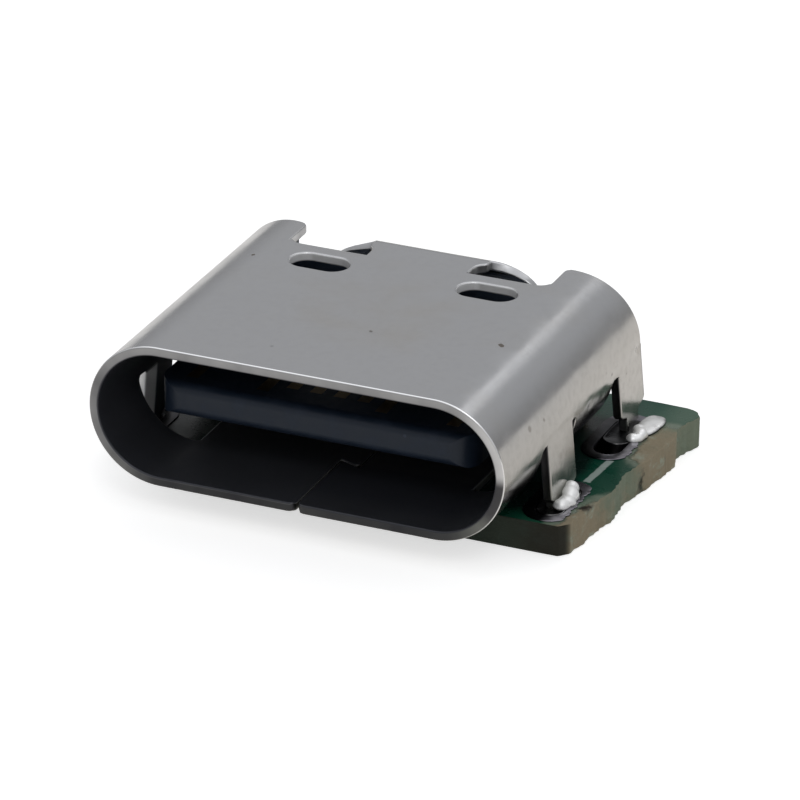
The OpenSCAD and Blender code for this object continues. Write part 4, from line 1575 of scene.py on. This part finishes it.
@dataclass
class Board:
    """Piece of circuit board with a snapped right edge, slots and peg holes."""

    top: float = -1.48
    thickness: float = 0.645
    front: float = 1.5
    rear: float = 7.5
    shell_x: float = 4.37
    peg_x: float = 2.89
    peg_y: float = 5.75
    peg_r: float = 0.32
    slot_x: float = 4.45
    slot_half: float = 0.36
    slots: tuple[Span, ...] = ((2.52, 1.4), (5.64, 1.7))

    def __post_init__(self) -> None:
        """Lays out the board's outline and the places without mask."""
        snapped = np.array(
            [
                [0, 0.5], [0.04, 0.69], [0.11, 0.75], [0.25, 0.86], [0.33, 0.9], [0.41, 0.87],
                [0.5, 0.9], [0.62, 1.07], [0.75, 1.12], [0.84, 1.07], [0.88, 1.12], [0.915, 1.2],
                [0.95, 1.2], [0.975, 1.12], [0.99, 1.02], [1, 0.86],
            ]
        )
        run = self.rear - self.front
        right = np.column_stack([self.shell_x + snapped[:, 1], self.front + snapped[:, 0] * run])
        left = np.array(
            [
                [-self.shell_x - 0.5, self.rear], [-self.shell_x - 0.64, self.rear - 0.2],
                [-self.shell_x - 0.64, self.front + 0.95], [-self.shell_x + 0.5, self.front],
            ]
        )
        self.outline = np.vstack([right, left])
        self.bare = [
            np.array([[4.72, 1.3], [4.80, 1.9], [5.00, 2.5], [5.36, 3.17], [6.0, 3.3], [6.0, 1.3]]),
            np.array(
                [
                    [6.0, 4.45], [5.26, 4.68], [5.05, 4.95], [4.99, 5.3], [4.98, 6.2],
                    [5.08, 6.42], [6.0, 6.62],
                ]
            ),
        ]

    def distance(self, x: Array, y: Array) -> Array:
        """Distance inside the board: its ragged outline less the slots and holes.

        Args:
            x: Places from left to right.
            y: Places from front to rear.

        Returns:
            The distance, positive inside.
        """
        snapped = np.clip((x - 4.6) / 0.3, 0, 1)
        wander = 0.014 * np.sin(11 * y + 3 * x) + 0.006 * np.sin(29 * y + 1.3)
        wander = wander + 0.003 * np.sin(67 * y)
        gap = inside_polygon(x, y, self.outline) + snapped * (wander - 0.012)
        for s in (-1, 1):
            for at_y, run in self.slots:
                reach = self.slot_half
                gap = np.minimum(gap, -oblong(y - at_y, x - s * self.slot_x, run / 2 - 0.3, reach))
            gap = np.minimum(gap, np.hypot(x - s * self.peg_x, y - self.peg_y) - self.peg_r)
        return gap

    def fold(self, x: Array, y: Array, w: Array) -> Array:
        """Lays the blank flat, its snapped side uneven through the thickness.

        Args:
            x: Places from left to right.
            y: Places from front to rear.
            w: Heights in the thickness.

        Returns:
            The points.
        """
        snapped = np.clip((x - 4.9) / 0.2, 0, 1) * np.clip((y - 1.7) / 0.2, 0, 1)
        ragged = 0.022 * np.sin(9 * w + 5 * y) + 0.008 * np.sin(31 * y + 17 * w) - 0.03
        return np.column_stack([x + snapped * ragged, y, w + self.top - self.thickness / 2])

    def build(self, material: bpy.types.Material) -> None:
        """Builds the board in place of its plain node.

        Args:
            material: The board's laminate.
        """
        lines_x = ruled_lines([(-5.3, 0.1), (4.3, 0.045), (5.7, 0.045)]) + 0.0013
        lines_y = ruled_lines([(1.4, 0.06), (7.6, 0.06)]) + 0.0011
        sheet = Sheet(lines_x, lines_y, self.distance, self.fold, self.thickness, 0.02, 3)
        made = sheet.surface()
        x, y = made.values["blank"][:, 0], made.values["blank"][:, 1]
        wear_and_painted_reflection = np.max([inside_polygon(x, y, shape) for shape in self.bare], axis=0)
        made.values["bare"] = wear_and_painted_reflection
        piece = made.make("board_laminate_sheet", material, Finish.LAMINATE)
        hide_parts("circuit_board")


@dataclass
class SlotPlating:
    """Copper rims and lining of one leg slot on the right, its rim torn on the outer side."""

    name: str
    centre: Span
    run: float
    torn_x: float
    node: str
    corner: Optional[tuple[float, float, float, float]] = None
    slot_r: float = 0.3
    rim_w: float = 0.24
    wall: float = 0.048
    top: float = -1.45
    copper: float = 0.03
    board: float = 0.65
    edges: Span = (0.012, 0.008)
    grids: Span = (0.035, 0.016)
    margin: float = 0.06

    def short(self, x: Array, y: Array) -> Array:
        """Distance short of the board's broken corner, which cuts the left plating.

        Args:
            x: Places from the middle outwards.
            y: Places from front to rear.

        Returns:
            The distance, positive on the board.
        """
        ax, ay, bx, by = self.corner
        run = math.hypot(bx - ax, by - ay)
        return ((y - ay) * (bx - ax) - (x - ax) * (by - ay)) / run - 0.03

    def band(self, outer: float, top: float, thick: float, edge: float, left: bool) -> Surface:
        """Ring round the slot between its wall and an outer oblong.

        Args:
            outer: The outer oblong's radius. The wide rim's outer side is
                broken off at a ragged line.
            top: The height of the ring's upper face.
            thick: Its thickness.
            edge: The radius of its rims.
            left: Whether it is for the left side, where a corner may cut it.

        Returns:
            The closed surface.
        """
        at_x, at_y = self.centre
        half = self.run / 2 - self.slot_r
        wide = outer - self.slot_r
        torn = wide > self.wall and not left

        def distance(x: Array, y: Array) -> Array:
            """Distance inside the outer oblong, outside the slot, short of the tear.

            Args:
                x: Places from the middle outwards.
                y: Places from front to rear.

            Returns:
                The distance.
            """
            ring = np.minimum(
                oblong(y - at_y, x - at_x, half, outer),
                -oblong(y - at_y, x - at_x, half, self.slot_r),
            )
            ragged = 0.02 * np.sin(19 * y) + 0.014 * np.sin(47 * y + 1.0)
            ring = np.minimum(ring, self.torn_x - x + ragged) if torn else ring
            return np.minimum(ring, self.short(x, y)) if left and self.corner else ring

        def fold(x: Array, y: Array, w: Array) -> Array:
            """Lays the ring flat, its face slightly domed."""
            rise = 0.006 * np.sin(math.pi * np.clip(distance(x, y) / wide, 0, 1))
            return np.column_stack([x, y, w + top - thick / 2 + np.where(w > 0, rise - 0.004, 0)])

        gap = self.grids[0] if wide > self.wall else self.grids[1]
        reach_x, reach_y = outer + self.margin, self.run / 2 + wide + self.margin
        lines_x = ruled_lines([(at_x - reach_x, gap), (at_x + reach_x, gap)]) + 0.0007
        lines_y = ruled_lines([(at_y - reach_y, gap), (at_y + reach_y, gap)]) + 0.0005
        return Sheet(lines_x, lines_y, distance, fold, thick, edge, 3, 0.002).surface()

    def build(self, material: bpy.types.Material) -> None:
        """Builds the plating on the right and its mirror on the left.

        Args:
            material: The tinned copper.
        """
        outer, low = self.slot_r + self.rim_w, self.top - self.copper + 0.002
        broad, thin = self.edges
        for left in (False, True):
            lining = self.band(self.slot_r + self.wall, low, self.board - 0.01, thin, left)
            whole = self.band(outer, self.top, self.copper, broad, left).joined(lining)
            whole = whole.mirrored() if left else whole
            side = "left" if left else "right"
            piece = whole.make(f"{self.name}_{side}", material, Finish.TIN)
            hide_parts(self.node.replace("right", side))


@dataclass
class LegSolder:
    """Solder at one leg on the right: a lump of merged drops and a slot's fill."""

    name: str
    drops: tuple[tuple[float, float, float, float], ...]
    fill_y: Span
    left_y: Span
    slot_x: float = 4.45
    half: float = 0.295
    top: float = -1.45
    pool: Optional[tuple[float, float, float, float]] = None
    pool_out: Span = (5.4, 4.97)
    lump_out: float = 4.99
    sharp: float = 22.0
    swell: float = 0.03
    lump_grid: tuple[int, int] = (40, 64)
    bumps: Span = (0.33, 0.014)
    node: str = "front_right_solder"

    def lump(self) -> Surface:
        """Lump of drops: along each direction from the middle, the farthest drop's skin.

        For a drop at c of radius r it is d.c + sqrt((d.c)^2 - c.c + r^2), and
        the drops merge by a soft maximum.

        Returns:
            The closed surface.
        """
        drops = np.array(self.drops)
        middle = drops[:, :3].mean(axis=0)
        centres, radii = drops[:, :3] - middle, drops[:, 3]
        rings, points_round = self.lump_grid
        polar = np.linspace(0.04, math.pi - 0.04, rings)[:, None]
        around = np.linspace(0, 2 * math.pi, points_round, endpoint=False)[None, :]
        ray = np.stack(
            [
                np.sin(polar) * np.cos(around), np.sin(polar) * np.sin(around),
                np.cos(polar) * np.ones_like(around),
            ],
            axis=-1,
        )
        along = ray @ centres.T
        inside = np.maximum(along**2 - (centres**2).sum(axis=1) + radii**2, 0)
        reach = along + np.sqrt(inside)
        far = np.log(np.exp(self.sharp * reach).mean(axis=-1)) / self.sharp + self.swell
        pitch, height = self.bumps
        points = middle + ray * far[..., None]
        points = points + ray * (height * ripple(points, pitch, far.max()))[..., None]
        points[..., 2] = np.maximum(points[..., 2], self.top - 0.02)
        points[..., 0] = np.minimum(points[..., 0], self.lump_out)
        return wrapped_grid(points)

    def fill(self, start: float, end: float) -> Surface:
        """Fill of the slot: an oblong carried from its top's middle out, down and in again.

        Its top is hollow: it rises with the fourth power of the distance from
        the middle.

        Args:
            start: Its front end.
            end: Its rear end.

        Returns:
            The closed surface.
        """
        run = max((end - start) / 2 - self.half, 0.01)
        share = np.array([0.06, 0.3, 0.55, 0.75, 0.9, 0.98, 1.0, 1.0, 0.9, 0.4, 0.06])
        drop = np.array([0.07, 0.068, 0.06, 0.045, 0.02, 0.003, 0.02, 0.6, 0.65, 0.65, 0.65])
        angle = np.linspace(0, 2 * math.pi, 72, endpoint=False)
        x = self.half * np.cos(angle)[None, :] * share[:, None]
        y = (self.half * np.sin(angle) + run * np.clip(3 * np.sin(angle), -1, 1))[None, :]
        y = y * share[:, None] + (start + end) / 2
        z = (self.top - drop)[:, None] * np.ones_like(x)
        return wrapped_grid(np.stack([x + self.slot_x, y, z], axis=-1))

    def flat(self, limit: float) -> Surface:
        """Pool beside the lump: a low dome over a superellipse of power 2.8.

        Its height is h (1 - r^4), r running from 0 in the middle to 1 at the edge.

        Args:
            limit: How far out it may reach.

        Returns:
            The closed surface.
        """
        at_x, at_y, half_x, half_y = self.pool
        share = np.array([0.05, 0.35, 0.6, 0.8, 0.92, 0.98, 1.0, 1.0, 0.5, 0.05])
        rise = 0.05 * (1 - share**4)
        rise[-3:] = -0.02
        points = dome((at_x, at_y), (half_x, half_y), 2 / 2.8, 56, share, self.top + rise)
        points[..., 0] += 0.015 * np.sin(5 * points[..., 1])
        points[..., 0] = np.minimum(points[..., 0], limit)
        return wrapped_grid(points)

    def build(self, material: bpy.types.Material) -> None:
        """Builds the joint on the right and its mirror on the left.

        Args:
            material: The solder.
        """
        rows = zip(("right", "left"), (self.fill_y, self.left_y), self.pool_out)
        for side, run, limit in rows:
            whole = self.lump().joined(self.fill(*run))
            if self.pool:
                whole = whole.joined(self.flat(limit))
            if side == "left":
                whole = whole.mirrored()
            piece = whole.make(f"{self.name}_{side}", material, Finish.SOLDER)
            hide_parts(self.node.replace("right", side))


@dataclass
class TailSolder:
    """Solder round the twelve tails: low rounded heaps, higher in the middle."""

    top: float = -1.451
    height: float = 0.085
    span_y: Span = (6.62, 7.26)
    pitch: float = 0.5
    single: float = 0.13
    double: float = 0.26
    double_x: tuple[float, ...] = (-2.45, -3.2, 2.45, 3.2)

    def build(self, material: bpy.types.Material) -> None:
        """Builds all the heaps as one piece.

        A heap's plan is a rounded rectangle, its height h (1 - r^4), where r
        runs from 0 in the middle to 1 at the edge.

        Args:
            material: The solder.
        """
        heaps = [(k * self.pitch, self.single) for k in np.arange(-3.5, 4)]
        heaps += [(x, self.double) for x in self.double_x]
        share = np.array([0.06, 0.4, 0.7, 0.88, 0.97, 1.0, 0.7, 0.06])
        rise = self.height * (1 - share**4)
        rise[-3:] = 0.0
        rise[-2:] = -0.002
        middle = sum(self.span_y) / 2
        half_y = (self.span_y[1] - self.span_y[0]) / 2
        whole: Optional[Surface] = None
        for centre, half_x in heaps:
            points = dome((centre, middle), (half_x, half_y), 0.4, 28, share, self.top + rise)
            heap = wrapped_grid(points)
            whole = heap if whole is None else whole.joined(heap)
        piece = whole.make("tail_solder_heaps", material, Finish.SOLDER)
        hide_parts("tail_solder")


@dataclass
class Fittings:
    """The nodes that keep their own mesh: moulding, plates, contacts and copper."""

    moulding: tuple[str, ...] = ("housing",)
    plates: tuple[str, ...] = ("mid_plate", "upper_ground_plate", "lower_ground_plate")
    copper: tuple[str, ...] = ("contact_pads",)

    def dress(self, finishes: dict[Finish, bpy.types.Material]) -> None:
        """Gives each node its finish.

        Args:
            finishes: The materials.
        """
        contacts = [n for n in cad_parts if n.startswith("contact_") and n not in self.copper]
        rows = (
            (self.moulding, Finish.MOULDING), (self.plates, Finish.PLATE),
            (self.copper, Finish.TIN), (contacts, Finish.GILT),
        )
        for names, finish in rows:
            for name in names:
                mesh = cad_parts[name].data
                mesh.materials.clear()
                mesh.materials.append(finishes[finish])
                LOG.info("%s: %s", name, finish.value)


# ---------- studio ----------


@dataclass
class Camera:
    """Long lens above and to the right of the mouth."""

    place: tuple[float, float, float] = (43.583, -93.997, 49.460)
    azimuth: float = 23.752
    elevation: float = 25.106
    lens: float = 270.3

    def build(self) -> None:
        """Makes the scene's camera."""
        a, e = math.radians(self.azimuth), math.radians(self.elevation)
        right = Vector((math.cos(a), math.sin(a), 0))
        back = Vector((math.sin(a) * math.cos(e), -math.cos(a) * math.cos(e), math.sin(e)))
        up = back.cross(right)
        data = bpy.data.cameras.new("camera")
        data.lens = self.lens
        data.sensor_width = 36
        data.clip_start = 0.001
        data.clip_end = 20
        camera = bpy.data.objects.new("camera", data)
        turn = Matrix((right, up, back)).transposed().to_4x4()
        camera.matrix_world = Matrix.Translation(Vector(self.place) * MM) @ turn
        bpy.context.scene.collection.objects.link(camera)
        bpy.context.scene.camera = camera


@dataclass
class Studio:
    """Pale floor, even sky and soft lamps."""

    floor_z: float = -2.131
    floor_size: float = 3.0
    floor_colour: Colour = (0.84, 0.84, 0.835)
    shown_lift: float = 0.62
    sky: float = 0.55
    horizon: float = 0.38
    zenith: float = 0.64
    overhead: float = 0.55
    sky_colour: Colour = (0.965, 0.975, 1.0)
    warm_colour: Colour = (0.36, 0.34, 0.315)
    lamp_reach: float = 0.4

    def floor(self) -> None:
        """Makes the floor, lifted to white for camera, mirror and glass rays."""
        mesh = bpy.data.meshes.new("floor")
        s = self.floor_size / 2
        z = self.floor_z * MM
        mesh.from_pydata([(-s, -s, z), (s, -s, z), (s, s, z), (-s, s, z)], [], [(0, 1, 2, 3)])
        floor = bpy.data.objects.new("floor", mesh)
        bpy.context.scene.collection.objects.link(floor)
        material = bpy.data.materials.new("floor_paper")
        material.use_nodes = True
        material.node_tree.nodes.clear()
        graph = Graph(material.node_tree)
        place = graph.add("TexCoord").outputs["Object"]
        tone = graph.step(graph.noise(place, 60.0), 0.2, 0.8, 1.0, 0.985)
        paper = graph.add("BsdfDiffuse", {"Color": self.floor_colour})
        rays = graph.add("LightPath").outputs
        glossy = rays["Is Glossy Ray"]
        seen = graph.most(rays["Is Camera Ray"], glossy, rays["Is Transmission Ray"])
        lift = graph.blend(glossy, (self.shown_lift,) * 3, self.warm_colour)
        glow = graph.add("Emission", {"Color": lift, "Strength": graph.times(seen, tone)})
        both = graph.add("AddShader", {0: paper.outputs[0], 1: glow.outputs[0]})
        graph.feed(graph.add("OutputMaterial").inputs[0], both.outputs[0])
        mesh.materials.append(material)

    def world(self) -> None:
        """Makes the sky: white to the camera, even for light, brighter upwards in metal."""
        world = bpy.data.worlds.new("sky")
        world.use_nodes = True
        world.node_tree.nodes.clear()
        graph = Graph(world.node_tree)
        up = graph.part(graph.add("TexCoord").outputs["Generated"])[2]
        seen = graph.step(up, 0.0, 0.46, self.zenith, self.horizon)
        seen = graph.plus(seen, graph.step(up, 0.6, 0.8, self.overhead))
        rays = graph.add("LightPath").outputs
        light = graph.scaled(rays["Is Glossy Ray"], graph.less(seen, self.sky), self.sky)
        shown = graph.most(rays["Is Camera Ray"], rays["Is Transmission Ray"])
        level = graph.scaled(shown, graph.less(1.0, light), light)
        glow = graph.add("Background", {"Color": self.sky_colour, "Strength": level})
        graph.feed(graph.add("OutputWorld").inputs[0], glow.outputs[0])
        bpy.context.scene.world = world

    def lamp(self, name: str, azimuth: float, elevation: float, size: Span, glow: float) -> None:
        """Makes a soft rectangular lamp that faces the part.

        Args:
            name: Its name.
            azimuth: Its direction from +Y towards +X, in degrees.
            elevation: Its height above the horizon, in degrees.
            size: Its width and height, in metres.
            glow: How bright its face is, 1 being white.
        """
        a, e = math.radians(azimuth), math.radians(elevation)
        way = Vector((math.sin(a) * math.cos(e), math.cos(a) * math.cos(e), math.sin(e)))
        data = bpy.data.lights.new(name, "AREA")
        data.shape = "RECTANGLE"
        data.size, data.size_y = size
        data.energy = glow * math.pi**2 / 4 * size[0] * size[1]
        lamp = bpy.data.objects.new(name, data)
        turn = way.to_track_quat("Z", "Y").to_matrix().to_4x4()
        lamp.matrix_world = Matrix.Translation(way * self.lamp_reach) @ turn
        bpy.context.scene.collection.objects.link(lamp)

    def build(self) -> None:
        """Makes the floor, the sky and the lamps, and sets the plain view transform."""
        self.floor()
        self.world()
        self.lamp("softbox", 12.0, 47.0, (0.085, 0.22), 1.05)
        self.lamp("fill", 150.0, 48.0, (0.12, 0.12), 4.0)
        bpy.context.scene.view_settings.view_transform = "Standard"


def main() -> None:
    """Builds the studio and every sub-assembly in order."""
    logging.basicConfig(level=logging.INFO)
    Camera().build()
    Studio().build()
    finishes = build_finishes()
    Shell().build(finishes[Finish.STEEL])
    Board().build(finishes[Finish.LAMINATE])
    SlotPlating(
        "front_slot_plating", centre=(4.45, 2.52), run=1.4, torn_x=4.86,
        node="front_right_slot_plating", corner=(3.87, 1.5, 5.01, 2.45),
    ).build(finishes[Finish.TIN])
    SlotPlating(
        "rear_slot_plating", centre=(4.45, 5.64), run=1.7, torn_x=4.93,
        node="rear_right_slot_plating",
    ).build(finishes[Finish.TIN])
    front = LegSolder(
        "front_leg_solder",
        drops=(
            (4.60, 2.26, -1.46, 0.18), (4.70, 2.46, -1.45, 0.16),
            (4.64, 2.68, -1.40, 0.19), (4.56, 2.92, -1.34, 0.17),
        ),
        fill_y=(1.84, 3.2), left_y=(2.32, 3.2),
    )
    rear = LegSolder(
        "rear_leg_solder",
        drops=(
            (4.74, 5.60, -1.46, 0.15), (4.86, 5.66, -1.45, 0.13),
            (4.84, 5.84, -1.42, 0.17), (4.74, 6.02, -1.43, 0.15),
        ),
        fill_y=(5.3, 6.48), left_y=(5.3, 6.48),
        pool=(4.82, 6.36, 0.24, 0.48),
        node="rear_right_solder",
    )
    front.build(finishes[Finish.SOLDER])
    rear.build(finishes[Finish.SOLDER])
    TailSolder().build(finishes[Finish.SOLDER])
    Fittings().dress(finishes)


if __name__ == "__main__":
    main()
